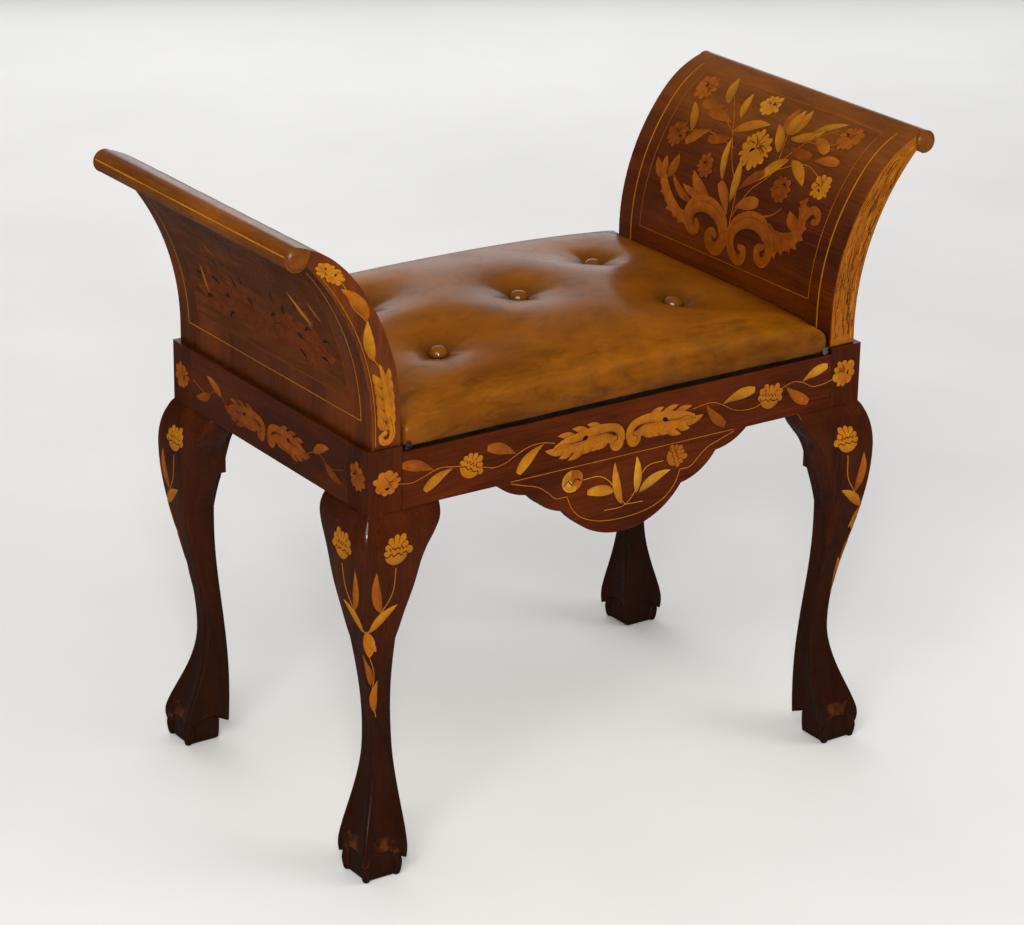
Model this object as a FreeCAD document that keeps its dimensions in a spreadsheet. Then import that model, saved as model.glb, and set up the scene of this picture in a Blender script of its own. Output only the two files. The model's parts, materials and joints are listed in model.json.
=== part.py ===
import FreeCAD, Part
import math
import operator
import os

import Sketcher
from FreeCAD import Placement, Rotation, Vector

# Window seat with a lift-up padded lid over a shallow music well.
# X runs along the seat, -Y is the front, Z is up from the floor, all in millimetres.
# The origin lies on the floor under the middle of the seat.

sizes = (
    ("frame_width", 561, "over the outer faces of the posts, left to right"),
    ("frame_depth", 356, "over the outer faces of the posts, front to back"),
    ("post_size", 36, "side of the square post"),
    ("post_top", 421, "height of the post tops and side rails"),
    ("rail_bottom", 361, "height of the rails' lower edge"),
    ("long_rail_top", 415, "height of the front and back rails' upper edge"),
    ("long_rail_thickness", 24, "front and back rails"),
    ("side_rail_thickness", 30, "left and right rails"),
    ("tenon_length", 18, "tenon past the rail's shoulder"),
    ("tenon_thickness", 8, "tenon"),
    ("tenon_setback", 8, "tenon behind the outer face"),
    ("tenon_shoulder", 5, "tenon below and above the rail's edges"),
    ("mortise_clearance", 0.1, "round a tenon"),
    ("mortise_spare", 0.5, "past a tenon's end"),
    ("knee_proud", 13.5, "knee in front of the post"),
    ("knee_height", 315, "height of the knee's fullest point"),
    ("knee_shoulder_run", 7, "knee's first swell under the post"),
    ("knee_shoulder_drop", 6, "fall of that first swell"),
    ("ledge_height", 288, "height of the step behind the knee"),
    ("shin_depth", 28, "back of the shin behind the post face"),
    ("shin_height", 232, "height where the shin's back is furthest forward"),
    ("ankle_setback", 11.5, "ankle's front behind the post face"),
    ("ankle_height", 124, "height of the ankle"),
    ("heel_depth", 36.5, "heel behind the post face"),
    ("heel_height", 65, "height of the heel"),
    ("spur_depth", 35.5, "rear claw's spur behind the post face"),
    ("paw_proud", 13.4, "paw in front of the post face"),
    ("paw_height", 21, "height of the paw's lower edge"),
    ("foot_proud", 8.5, "foot block in front of the post face"),
    ("foot_depth", 28.5, "foot block's back behind the post face"),
    ("claw_tip_radius", 3.6, "claw on the floor"),
    ("claw_root_radius", 4.6, "claw under the paw"),
    ("claw_proud", 8.4, "outer claws' axes in front of the post face"),
    ("claw_depth", 26.5, "side claws' axes behind the post face"),
    ("ridge_radius", 5, "rounding of the leg's ridges"),
    ("ear_reach", 40, "knee ear along the rail"),
    ("ear_neck", 8, "knee ear where its sweep ends"),
    ("ear_neck_drop", 29, "fall of that sweep"),
    ("ear_drop", 75, "knee ear below the rail"),
    ("ear_depth", 24, "knee ear behind the post face"),
    ("apron_half_width", 143, "apron at the rail, from the middle"),
    ("apron_thickness", 14, "apron"),
    ("apron_cusp", 107, "apron's outer cusp from the middle"),
    ("apron_cusp_drop", 16, "that cusp below the rail"),
    ("apron_lobe", 67, "apron's middle lobe from the middle"),
    ("apron_lobe_drop", 41, "start of the middle lobe below the rail"),
    ("apron_drop", 75.5, "lowest point of the apron below the rail"),
    ("apron_scallop_radius", 60, "outer scallops of the apron"),
    ("cleat_height", 8, "cleat under the bottom board"),
    ("cleat_width", 12, "cleat"),
    ("bottom_board_thickness", 6, "floor of the music well"),
    ("board_clearance", 0.5, "round the bottom board and the cleats' ends"),
    ("panel_setback", 4, "end panel's edges behind the post faces"),
    ("panel_thickness", 29.5, "end panel at its base"),
    ("panel_straight", 27, "upright part of the inner face"),
    ("panel_lower_radius", 218, "lower sweep of the inner face"),
    ("panel_lower_angle", 40, "lean at the end of the lower sweep"),
    ("panel_upper_radius", 102, "upper sweep of the inner face"),
    ("panel_joint_angle", 68, "lean where the panel meets its crest roll"),
    ("panel_outer_straight", 17, "upright part of the outer face"),
    ("panel_outer_radius", 240, "sweep of the outer face"),
    ("panel_outer_angle", 43.5, "lean at the end of the outer sweep"),
    ("roll_radius", 10.5, "crest roll"),
    ("roll_angle", 75, "lean where the sweep runs into the roll"),
    ("roll_under_angle", 225, "where the roll's round ends, underneath"),
    ("roundel_radius", 11.5, "turned disc on the roll's end"),
    ("roundel_rim", 2, "thickness of the disc's rim"),
    ("roundel_crown", 4.5, "thickness of the disc's middle"),
    ("dowel_radius", 4, "dowel between panel and rail"),
    ("dowel_depth", 20, "dowel in each piece"),
    ("dowel_spacing", 105, "between dowels"),
    ("dowel_setback", 18.5, "dowel's axis behind the post face"),
    ("dowel_clearance", 0.1, "round a dowel"),
    ("dowel_spare", 0.5, "past a dowel's ends"),
    ("lid_side_gap", 4, "pad to the posts"),
    ("lid_rest_gap", 0.3, "lid board over the rails"),
    ("lid_board_thickness", 6.5, "lid board"),
    ("lid_board_inset", 1.5, "lid board behind the leather"),
    ("lid_overhang", 6, "lid board behind the hinge pins"),
    ("pad_setback", 2, "leather behind the rail's face"),
    ("leather_thickness", 2, "cover"),
    ("leather_flange", 16, "cover turned in under the seat board"),
    ("soft_gap", 0.3, "between cover and filling"),
    ("seat_board_thickness", 12, "board under the filling"),
    ("pad_crown", 57, "pad's height in the middle"),
    ("pad_crown_end", 29, "pad's height at its ends"),
    ("pad_side", 31, "side's height in the middle"),
    ("pad_side_end", 17, "side's height at the ends"),
    ("pad_fall", 2.5, "power with which the crown falls away to the ends"),
    ("pad_roll_in", 7, "top of the side drawn in"),
    ("pad_tuck", 2, "bottom of the side drawn in"),
    ("pad_waist", 2, "side drawn in between its corners"),
    ("button_run", 137, "outer buttons from the middle, along the seat"),
    ("button_spread", 68, "outer buttons from the middle, across the seat"),
    ("button_radius", 8, "covered button"),
    ("button_rim", 2, "button's edge"),
    ("button_crown", 5, "button's middle"),
    ("tuft_depth", 11, "button's seat under the pad's surface"),
    ("tuft_reach", 34, "radius of the dimple round a button"),
    ("tie_radius", 1, "button's tie"),
    ("tie_clearance", 0.3, "round a tie"),
    ("hinge_run", 150, "hinge's middle from the seat's middle"),
    ("hinge_length", 50, "butt hinge"),
    ("leaf_width", 22, "hinge leaf from the pin"),
    ("leaf_thickness", 2, "hinge leaf"),
    ("leaf_clearance", 0.2, "round a leaf in its gain"),
    ("pin_setback", 1.2, "pin's axis behind the back rail"),
    ("pin_radius", 1.4, "hinge pin"),
    ("pin_clearance", 0.05, "running fit round the pin"),
    ("pin_head_radius", 2.2, "pin's heads"),
    ("pin_head_length", 0.8, "pin's heads"),
    ("knuckle_radius", 3, "hinge knuckle"),
    ("knuckle_gap", 0.3, "between knuckles and round them"),
    ("screw_head_radius", 2.9, "countersunk head"),
    ("screw_head_height", 1.6, "countersunk head"),
    ("screw_shank_radius", 1.3, "screw"),
    ("screw_clearance", 0.05, "round a screw"),
    ("screw_spacing", 17, "between the screws of a leaf"),
    ("screw_setback", 13, "leaf screws from the pin"),
    ("rail_screw_length", 14, "screw in the back rail"),
    ("leaf_screw_length", 6, "screw in the lid board"),
    ("board_screw_length", 12, "screw through the bottom board"),
    ("lid_screw_length", 16, "screw through the lid board"),
    ("lid_screw_run", 190, "lid board screws from the middle, along the seat"),
    ("lid_screw_spread", 130, "lid board screws from the middle, across the seat"),
    ("board_screw_run", 150, "bottom board screws from the middle"),
)

doc = FreeCAD.newDocument("window_seat")
sheet = doc.addObject("Spreadsheet::Sheet", "Sizes")
for row, (alias, number, meaning) in enumerate(sizes, start=1):
    sheet.set("A%d" % row, meaning)
    sheet.set("B%d" % row, str(number))
    sheet.setAlias("B%d" % row, alias)
doc.recompute()


# A length that carries the sheet formula that gives it.
class Measure:
    def __init__(self, value, formula):
        self.value = value
        self.formula = formula

    def __add__(self, other):
        return joined(self, other, "+", operator.add)

    def __sub__(self, other):
        return joined(self, other, "-", operator.sub)

    def __mul__(self, other):
        return joined(self, other, "*", operator.mul)

    def __truediv__(self, other):
        return joined(self, other, "/", operator.truediv)

    def __neg__(self):
        return joined(Measure(0.0, "0"), self, "-", operator.sub)


def joined(left, right, sign, action):
    if not isinstance(right, Measure):
        right = Measure(float(right), str(right))
    return Measure(action(left.value, right.value), "(%s %s %s)" % (left.formula, sign, right.formula))


def size(alias):
    return Measure(float(sheet.get(alias)), "Sizes." + alias)


def sine(angle):
    return Measure(math.sin(math.radians(angle.value)), "sin(%s)" % angle.formula)


def cosine(angle):
    return Measure(math.cos(math.radians(angle.value)), "cos(%s)" % angle.formula)


def bind(item, place, measure):
    item.setExpression(place, measure.formula)


nodes = []


def node(item, label):
    item.Label = label
    nodes.append(item)
    return item


# A block between two measures along each axis.
def block(name, along_x, along_y, along_z):
    item = doc.addObject("Part::Box", name)
    spans = (("Length", "x", along_x), ("Width", "y", along_y), ("Height", "z", along_z))
    for side, axis, (low, high) in spans:
        bind(item, side, high - low)
        bind(item, "Placement.Base." + axis, low)
    return item


turns = {
    "x": Rotation(Vector(0, 1, 0), 90),
    "z": Rotation(),
    "-z": Rotation(Vector(1, 0, 0), 180),
}


def place_at(item, place, direction):
    item.Placement = Placement(Vector(), turns[direction])
    for axis, measure in zip("xyz", place):
        bind(item, "Placement.Base." + axis, measure)


# A round bar that starts at a place and runs along a direction.
def bar(name, radius, length, place, direction):
    item = doc.addObject("Part::Cylinder", name)
    bind(item, "Radius", radius)
    bind(item, "Height", length)
    place_at(item, place, direction)
    return item


def cone(name, start_radius, end_radius, length, place, direction):
    item = doc.addObject("Part::Cone", name)
    bind(item, "Radius1", start_radius)
    bind(item, "Radius2", end_radius)
    bind(item, "Height", length)
    place_at(item, place, direction)
    return item


def fuse(name, pieces):
    item = doc.addObject("Part::MultiFuse", name)
    item.Shapes = pieces
    return item


def common(name, pieces):
    item = doc.addObject("Part::MultiCommon", name)
    item.Shapes = pieces
    return item


def cut(name, base, tools):
    item = doc.addObject("Part::Cut", name)
    item.Base = base
    item.Tool = tools[0] if len(tools) == 1 else fuse(name + "_tools", tools)
    return item


def group(name, pieces):
    item = doc.addObject("Part::Compound", name)
    item.Links = pieces
    return item


def feature(name, shape):
    item = doc.addObject("Part::Feature", name)
    item.Shape = shape
    item.Placement = Placement()
    return item


across = {"x": Vector(1, 0, 0), "y": Vector(0, 1, 0)}


def mirrored(name, source, axis):
    item = doc.addObject("Part::Mirroring", name)
    item.Source = source
    item.Base = Vector()
    item.Normal = across[axis]
    return item


def origin_plane(body, role):
    return next(plane for plane in body.Origin.OriginFeatures if plane.Role == role)


# A closed sketch of straight lines and arcs.
# Each corner is a pair of measures; bends gives the radius of the arc after a corner, negative to the right.
def outline(body, role, name, corners, bends):
    sketch = body.newObject("Sketcher::SketchObject", name)
    sketch.AttachmentSupport = [(origin_plane(body, role), "")]
    sketch.MapMode = "FlatFace"
    points = [Vector(x.value, y.value, 0) for x, y in corners]
    ends = []
    for index, start in enumerate(points):
        end = points[(index + 1) % len(points)]
        if index not in bends:
            sketch.addGeometry(Part.LineSegment(start, end), False)
            ends.append((1, 2))
            continue
        radius = abs(bends[index].value)
        side = math.copysign(1, bends[index].value)
        chord = end - start
        left = Vector(-chord.y, chord.x, 0).normalize()
        rise = math.sqrt(radius ** 2 - (chord.Length / 2) ** 2)
        centre = (start + end) / 2 + left * rise * side
        middle = centre - left * radius * side
        if side > 0:
            sketch.addGeometry(Part.Arc(start, middle, end), False)
            ends.append((1, 2))
        else:
            sketch.addGeometry(Part.Arc(end, middle, start), False)
            ends.append((2, 1))
    for index, (x, y) in enumerate(corners):
        before = (index - 1) % len(corners)
        start = ends[index][0]
        sketch.addConstraint(Sketcher.Constraint("Coincident", before, ends[before][1], index, start))
        for kind, measure in (("DistanceX", x), ("DistanceY", y)):
            number = sketch.addConstraint(Sketcher.Constraint(kind, -1, 1, index, start, measure.value))
            bind(sketch, "Constraints[%d]" % number, measure)
    for index, bend in bends.items():
        size_of_bend = bend if bend.value > 0 else -bend
        number = sketch.addConstraint(Sketcher.Constraint("Radius", index, size_of_bend.value))
        bind(sketch, "Constraints[%d]" % number, size_of_bend)
    return sketch


def pad_both_ways(body, sketch, length):
    pad = body.newObject("PartDesign::Pad", sketch.Name + "_pad")
    pad.Profile = sketch
    pad.SideType = "Symmetric"
    bind(pad, "Length", length)
    return pad


zero = Measure(0.0, "0")
half_width = size("frame_width") / 2
half_depth = size("frame_depth") / 2
post = size("post_size")
post_top = size("post_top")
rail_bottom = size("rail_bottom")
long_rail_top = size("long_rail_top")
inner_width = half_width - post
inner_depth = half_depth - post


# Legs: the front right one is sawn to the same outline from two sides and the others mirror it.
# The outline is given by the distance behind the post's outer face and the height.
# An ease is the share of a curve's height over which its end is drawn straight on.
calf_ease = 0.37
ankle_ease = 0.44
paw_ease = 0.23
heel_ease = 0.39
shin_ease = 0.36
knee_ease = 0.5
# The ridges' rounding is at most this share of the knee's rise under the rail.
ridge_share = 0.2


def curve(put, poles):
    arc = Part.BezierCurve()
    arc.setPoles([put(away, height) for away, height in poles])
    return arc.toShape()


def knee_front(put):
    swell = -size("knee_proud").value
    shoulder = (-size("knee_shoulder_run").value, rail_bottom.value - size("knee_shoulder_drop").value)
    fullest = size("knee_height").value
    ease = (rail_bottom.value - fullest) * knee_ease
    return curve(put, [(0, rail_bottom.value), shoulder, (swell, fullest + ease), (swell, fullest)])


def calf_front(put):
    swell, fullest = -size("knee_proud").value, size("knee_height").value
    ankle, ankle_height = size("ankle_setback").value, size("ankle_height").value
    ease = (fullest - ankle_height) * calf_ease
    poles = [(swell, fullest), (swell, fullest - ease), (ankle, ankle_height + ease), (ankle, ankle_height)]
    return curve(put, poles)


def leg_outline(put):
    ankle, ankle_height = size("ankle_setback").value, size("ankle_height").value
    paw, paw_height = -size("paw_proud").value, size("paw_height").value
    spur = size("spur_depth").value
    heel, heel_height = size("heel_depth").value, size("heel_height").value
    shin, shin_height = size("shin_depth").value, size("shin_height").value
    back, ledge = post.value, size("ledge_height").value
    top = post_top.value
    instep = ankle_height - paw_height
    behind = shin_height - heel_height
    edges = [
        Part.makeLine(put(0, top), put(0, rail_bottom.value)),
        knee_front(put),
        calf_front(put),
        curve(put, [(ankle, ankle_height), (ankle, ankle_height - instep * ankle_ease),
                    (paw, paw_height + instep * paw_ease), (paw, paw_height)]),
        Part.makeLine(put(paw, paw_height), put(spur, paw_height)),
        curve(put, [(spur, paw_height), (heel, (paw_height + heel_height) / 2), (heel, heel_height)]),
        curve(put, [(heel, heel_height), (heel, heel_height + behind * heel_ease),
                    (shin, shin_height - behind * shin_ease), (shin, shin_height)]),
        curve(put, [(shin, shin_height), (shin, (shin_height + ledge) / 2), (shin, ledge), (back, ledge)]),
        Part.makeLine(put(back, ledge), put(back, top)),
        Part.makeLine(put(back, top), put(0, top)),
    ]
    return Part.Face(Part.Wire(edges))


saw_reach = post * 4


def leg_slabs():
    reach = saw_reach.value
    edge_x = half_width.value + reach / 2
    edge_y = half_depth.value + reach / 2
    seen_front = leg_outline(lambda away, height: Vector(half_width.value - away, -edge_y, height))
    seen_side = leg_outline(lambda away, height: Vector(edge_x, away - half_depth.value, height))
    return (feature("leg_front_slab", seen_front.extrude(Vector(0, reach, 0))),
            feature("leg_side_slab", seen_side.extrude(Vector(-reach, 0, 0))))


leg_sawn = common("leg_sawn", list(leg_slabs()))
doc.recompute()


# The long edges of the sawn leg: all four below the knee's ledge, only the outer one beside the ears.
def leg_ridges():
    numbers = []
    for number, edge in enumerate(leg_sawn.Shape.Edges, start=1):
        low, high = edge.BoundBox.ZMin, edge.BoundBox.ZMax
        middle = edge.valueAt((edge.FirstParameter + edge.LastParameter) / 2)
        inside = post.value / 2
        outermost = middle.x > half_width.value - inside and middle.y < inside - half_depth.value
        below_ledge = high <= size("ledge_height").value + 0.01
        below_post = high <= rail_bottom.value + 0.01
        rising = high - low > size("ridge_radius").value
        if rising and below_post and (below_ledge or outermost):
            numbers.append(number)
    return numbers


leg_eased = doc.addObject("Part::Fillet", "leg_eased")
leg_eased.Base = leg_sawn
ridge = size("ridge_radius")
knee_rise = rail_bottom.value - size("knee_height").value
easing = min(ridge.value, knee_rise * ridge_share)
leg_eased.Edges = [(number, easing, easing) for number in leg_ridges()]

foot_front = half_width + size("foot_proud")
foot_back = half_width - size("foot_depth")
foot_side = (-(half_depth + size("foot_proud")), -(half_depth - size("foot_depth")))
foot_block = block("foot_block", (foot_back, foot_front), foot_side, (zero, size("paw_height") + ridge))
claw_out_x = half_width + size("claw_proud")
claw_out_y = -(half_depth + size("claw_proud"))
claw_in_x = half_width - size("claw_depth")
claw_in_y = -(half_depth - size("claw_depth"))
claw_places = ((claw_out_x, claw_out_y), (claw_out_x, claw_in_y), (claw_in_x, claw_out_y))
claws = [
    cone("claw_%d" % number, size("claw_tip_radius"), size("claw_root_radius"),
         size("paw_height") + ridge, (x, y, zero), "z")
    for number, (x, y) in enumerate(claw_places)
]
leg_whole = fuse("leg_whole", [leg_eased, foot_block] + claws)

tenon_low = rail_bottom + size("tenon_shoulder")
tenon_near = size("tenon_setback")
tenon_far = size("tenon_setback") + size("tenon_thickness")
tenon_reach = size("tenon_length")
room = size("mortise_clearance")
mortise_depth = tenon_reach + size("mortise_spare")


def tenon_high(rail_top):
    return rail_top - size("tenon_shoulder")


mortises = [
    block("long_mortise", (inner_width, inner_width + mortise_depth),
          (-(half_depth - tenon_near + room), -(half_depth - tenon_far - room)),
          (tenon_low - room, tenon_high(long_rail_top) + room)),
    block("side_mortise", (half_width - tenon_far - room, half_width - tenon_near + room),
          (-(inner_depth + mortise_depth), -inner_depth),
          (tenon_low - room, tenon_high(post_top) + room)),
]
node(cut("leg_front_right", leg_whole, mortises), "leg_front_right")
node(mirrored("leg_front_left", doc.leg_front_right, "x"), "leg_front_left")
node(mirrored("leg_back_right", doc.leg_front_right, "y"), "leg_back_right")
node(mirrored("leg_back_left", doc.leg_front_left, "y"), "leg_back_left")


# Knee ears: the knee's swell carried on beside the post, sawn to a sweep under the rail.
sweep_pull = (2.2, 0.3)
lobe_pull = 1.1


def ear_swell(put):
    depth = size("ear_depth").value
    ankle, ankle_height = size("ankle_setback").value, size("ankle_height").value
    edges = [
        knee_front(put),
        calf_front(put),
        Part.makeLine(put(ankle, ankle_height), put(depth, ankle_height)),
        Part.makeLine(put(depth, ankle_height), put(depth, rail_bottom.value)),
        Part.makeLine(put(depth, rail_bottom.value), put(0, rail_bottom.value)),
    ]
    return Part.Face(Part.Wire(edges))


def ear_sweep(put):
    top = rail_bottom.value
    reach, neck = size("ear_reach").value, size("ear_neck").value
    fall = size("ear_neck_drop").value
    waist = top - fall
    low = top - size("ear_drop").value
    edges = [
        Part.makeLine(put(0, top), put(reach, top)),
        curve(put, [(reach, top), (neck * sweep_pull[0], top - fall * sweep_pull[1]), (neck, waist)]),
        curve(put, [(neck, waist), (neck * lobe_pull, (waist + low) / 2), (0, low)]),
        Part.makeLine(put(0, low), put(0, top)),
    ]
    return Part.Face(Part.Wire(edges))


# The swell is sawn out from well inside the post, so that the sweep's own edge is the joint with the post.
def ear(name, beside_front):
    reach = saw_reach.value
    post_x, post_y = half_width.value, half_depth.value
    if beside_front:
        swell = ear_swell(lambda away, height: Vector(post_x, away - post_y, height))
        front = -post_y - reach / 2
        sweep = ear_sweep(lambda along, height: Vector(inner_width.value - along, front, height))
        slab, saw = swell.extrude(Vector(-reach, 0, 0)), sweep.extrude(Vector(0, reach, 0))
    else:
        swell = ear_swell(lambda away, height: Vector(post_x - away, -post_y, height))
        side = post_x + reach / 2
        sweep = ear_sweep(lambda along, height: Vector(side, along - inner_depth.value, height))
        slab, saw = swell.extrude(Vector(0, reach, 0)), sweep.extrude(Vector(-reach, 0, 0))
    return common(name, [feature(name + "_slab", slab), feature(name + "_saw", saw)])


for front_word, side_word, beside_front in (("front", "back", True), ("side", "side", False)):
    first = node(ear("ear_front_right_" + front_word, beside_front), "ear_front_right_" + front_word)
    left = node(mirrored("ear_front_left_" + front_word, first, "x"), "ear_front_left_" + front_word)
    node(mirrored("ear_back_right_" + side_word, first, "y"), "ear_back_right_" + side_word)
    node(mirrored("ear_back_left_" + side_word, left, "y"), "ear_back_left_" + side_word)

# Hinge places that the back rail, the lid board and the hinges share.
pin_y = half_depth + size("pin_setback")
pin_z = long_rail_top + size("lid_rest_gap") / 2
lid_bottom = long_rail_top + size("lid_rest_gap")
leaf_front = pin_y - size("leaf_width")
knuckle_clear = size("knuckle_radius") + size("knuckle_gap")
half_hinge = size("hinge_length") / 2
leaf_room = size("leaf_clearance")
hinge_sides = (("left", -size("hinge_run")), ("right", size("hinge_run")))
screw_steps = (("inner", -size("screw_spacing")), ("middle", zero), ("outer", size("screw_spacing")))
screw_y = pin_y - size("screw_setback")


# A countersunk screw whose head's face lies at a place; spare makes the hole for it.
def screw(name, place, length, direction, spare):
    head = cone(name + "_head", size("screw_head_radius") + spare, size("screw_shank_radius") + spare,
                size("screw_head_height"), place, direction)
    shank = bar(name + "_shank", size("screw_shank_radius") + spare, length + spare, place, direction)
    return fuse(name, [head, shank])


def screws_and_holes(name, places, length, direction):
    made = [screw("%s_%d" % (name, n), place, length, direction, zero) for n, place in enumerate(places)]
    holes = [screw("%s_hole_%d" % (name, n), place, length, direction, size("screw_clearance"))
             for n, place in enumerate(places)]
    return made, holes


rail_leaf_top = long_rail_top
leaf_screw_x = [middle + step for _, middle in hinge_sides for _, step in screw_steps]
rail_screws, rail_screw_holes = screws_and_holes(
    "hinge_rail_screw", [(x, screw_y, rail_leaf_top) for x in leaf_screw_x], size("rail_screw_length"), "-z")
lid_leaf_screws, lid_leaf_screw_holes = screws_and_holes(
    "hinge_lid_screw", [(x, screw_y, lid_bottom) for x in leaf_screw_x], size("leaf_screw_length"), "z")
node(group("hinge_rail_screws", rail_screws), "hinge_rail_screws")
node(group("hinge_lid_screws", lid_leaf_screws), "hinge_lid_screws")


def long_rail(name, outer, inner):
    low, high = (outer, inner) if outer.value < inner.value else (inner, outer)
    stock = block(name + "_stock", (-inner_width, inner_width), (low, high), (rail_bottom, long_rail_top))
    near, far = half_depth - tenon_near, half_depth - tenon_far
    across_tenon = (-near, -far) if outer.value < 0 else (far, near)
    tenons = [
        block(name + "_tenon_" + end, span, across_tenon, (tenon_low, tenon_high(long_rail_top)))
        for end, span in (("left", (-(inner_width + tenon_reach), -inner_width)),
                          ("right", (inner_width, inner_width + tenon_reach)))
    ]
    return fuse(name + "_whole", [stock] + tenons)


rail_inner = half_depth - size("long_rail_thickness")
node(long_rail("front_rail", -half_depth, -rail_inner), "front_rail")

gains = []
for side, middle in hinge_sides:
    along = (middle - half_hinge - leaf_room, middle + half_hinge + leaf_room)
    gains.append(block("rail_gain_" + side, along, (leaf_front - leaf_room, half_depth + leaf_room),
                       (rail_leaf_top - size("leaf_thickness"), long_rail_top + leaf_room)))
    pin_room = half_hinge + size("pin_head_length") + size("knuckle_gap")
    gains.append(bar("rail_knuckle_room_" + side, knuckle_clear, pin_room * 2,
                     (middle - pin_room, pin_y, pin_z), "x"))
back_rail_whole = long_rail("back_rail", half_depth, rail_inner)
node(cut("back_rail", back_rail_whole, gains + rail_screw_holes), "back_rail")

# End panels stand on the posts and side rails and are held by dowels.
panel_half_depth = half_depth - size("panel_setback")
dowel_x = half_width - size("dowel_setback")
dowel_rows = (("front", -size("dowel_spacing")), ("middle", zero), ("back", size("dowel_spacing")))
dowel_low = post_top - size("dowel_depth")


def dowel_bars(name, spare, past):
    return [
        bar("%s_%s" % (name, row), size("dowel_radius") + spare, (size("dowel_depth") + past) * 2,
            (dowel_x, y, dowel_low - past), "z")
        for row, y in dowel_rows
    ]


dowels = dowel_bars("dowel", zero, zero)
dowel_holes = dowel_bars("dowel_hole", size("dowel_clearance"), size("dowel_spare"))
left_dowels = [mirrored("left_" + dowel.Name, dowel, "x") for dowel in dowels]
node(group("end_panel_dowels", dowels + left_dowels), "end_panel_dowels")

side_stock = block("side_rail_stock", (half_width - size("side_rail_thickness"), half_width),
                   (-inner_depth, inner_depth), (rail_bottom, post_top))
side_tenons = [
    block("side_tenon_" + end, (half_width - tenon_far, half_width - tenon_near), span,
          (tenon_low, tenon_high(post_top)))
    for end, span in (("front", (-(inner_depth + tenon_reach), -inner_depth)),
                      ("back", (inner_depth, inner_depth + tenon_reach)))
]
side_rail = fuse("side_rail_whole", [side_stock] + side_tenons)
node(cut("right_rail", side_rail, dowel_holes), "right_rail")
node(mirrored("left_rail", doc.right_rail, "x"), "left_rail")

panel_inner = inner_width
panel_outer = panel_inner + size("panel_thickness")
lower_radius, upper_radius = size("panel_lower_radius"), size("panel_upper_radius")
lower_angle, joint_angle = size("panel_lower_angle"), size("panel_joint_angle")
bend_height = post_top + size("panel_straight")
lower_end = (panel_inner + lower_radius * (Measure(1.0, "1") - cosine(lower_angle)),
             bend_height + lower_radius * sine(lower_angle))
upper_centre = (lower_end[0] + upper_radius * cosine(lower_angle),
                lower_end[1] - upper_radius * sine(lower_angle))


def on_upper_sweep(angle):
    return (upper_centre[0] - upper_radius * cosine(angle), upper_centre[1] + upper_radius * sine(angle))


outer_angle, outer_radius = size("panel_outer_angle"), size("panel_outer_radius")
outer_bend = post_top + size("panel_outer_straight")
outer_end = (panel_outer + outer_radius * (Measure(1.0, "1") - cosine(outer_angle)),
             outer_bend + outer_radius * sine(outer_angle))
joint_end = on_upper_sweep(joint_angle)

panel_body = doc.addObject("PartDesign::Body", "right_end_panel_body")
panel_corners = [(panel_inner, post_top), (panel_outer, post_top), (panel_outer, outer_bend), outer_end,
                 joint_end, lower_end, (panel_inner, bend_height)]
panel_bends = {2: -outer_radius, 4: upper_radius, 5: lower_radius}
panel_sketch = outline(panel_body, "XZ_Plane", "panel_outline", panel_corners, panel_bends)
pad_both_ways(panel_body, panel_sketch, panel_half_depth * 2)
node(cut("right_end_panel", panel_body, dowel_holes), "right_end_panel")
node(mirrored("left_end_panel", doc.right_end_panel, "x"), "left_end_panel")

# Crest rolls close the panels' upper edges, with a turned disc on each end.
roll_radius, roll_angle = size("roll_radius"), size("roll_angle")
roll_start = on_upper_sweep(roll_angle)
roll_centre = (roll_start[0] + roll_radius * cosine(roll_angle),
               roll_start[1] - roll_radius * sine(roll_angle))
under_angle = size("roll_under_angle")
roll_under = (roll_centre[0] + roll_radius * cosine(under_angle),
              roll_centre[1] + roll_radius * sine(under_angle))
roll_side = (roll_centre[0] + roll_radius, roll_centre[1])
roll_body = doc.addObject("PartDesign::Body", "right_crest_roll")
roll_corners = [joint_end, outer_end, roll_under, roll_side, roll_start]
roll_sketch = outline(roll_body, "XZ_Plane", "roll_outline", roll_corners,
                      {2: roll_radius, 3: roll_radius, 4: upper_radius})
pad_both_ways(roll_body, roll_sketch, panel_half_depth * 2)
node(roll_body, "right_crest_roll")
node(mirrored("left_crest_roll", roll_body, "x"), "left_crest_roll")

roundel = doc.addObject("PartDesign::Body", "roundel_front_right")
rim, crown = size("roundel_rim"), size("roundel_crown")
disc = size("roundel_radius")
dome_radius = (disc * disc + (crown - rim) * (crown - rim)) / ((crown - rim) * 2)
roundel_sketch = outline(roundel, "YZ_Plane", "roundel_outline",
                         [(zero, zero), (zero, disc), (-rim, disc), (-crown, zero)], {2: dome_radius})
roundel_turned = roundel.newObject("PartDesign::Revolution", "roundel_turned")
roundel_turned.Profile = roundel_sketch
roundel_turned.ReferenceAxis = (roundel_sketch, ["H_Axis"])
roundel_turned.Angle = 360
place_at(roundel, (roll_centre[0], -panel_half_depth, roll_centre[1]), "z")
node(roundel, "roundel_front_right")
node(mirrored("roundel_front_left", roundel, "x"), "roundel_front_left")
node(mirrored("roundel_back_right", roundel, "y"), "roundel_back_right")
node(mirrored("roundel_back_left", doc.roundel_front_left, "y"), "roundel_back_left")

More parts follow.
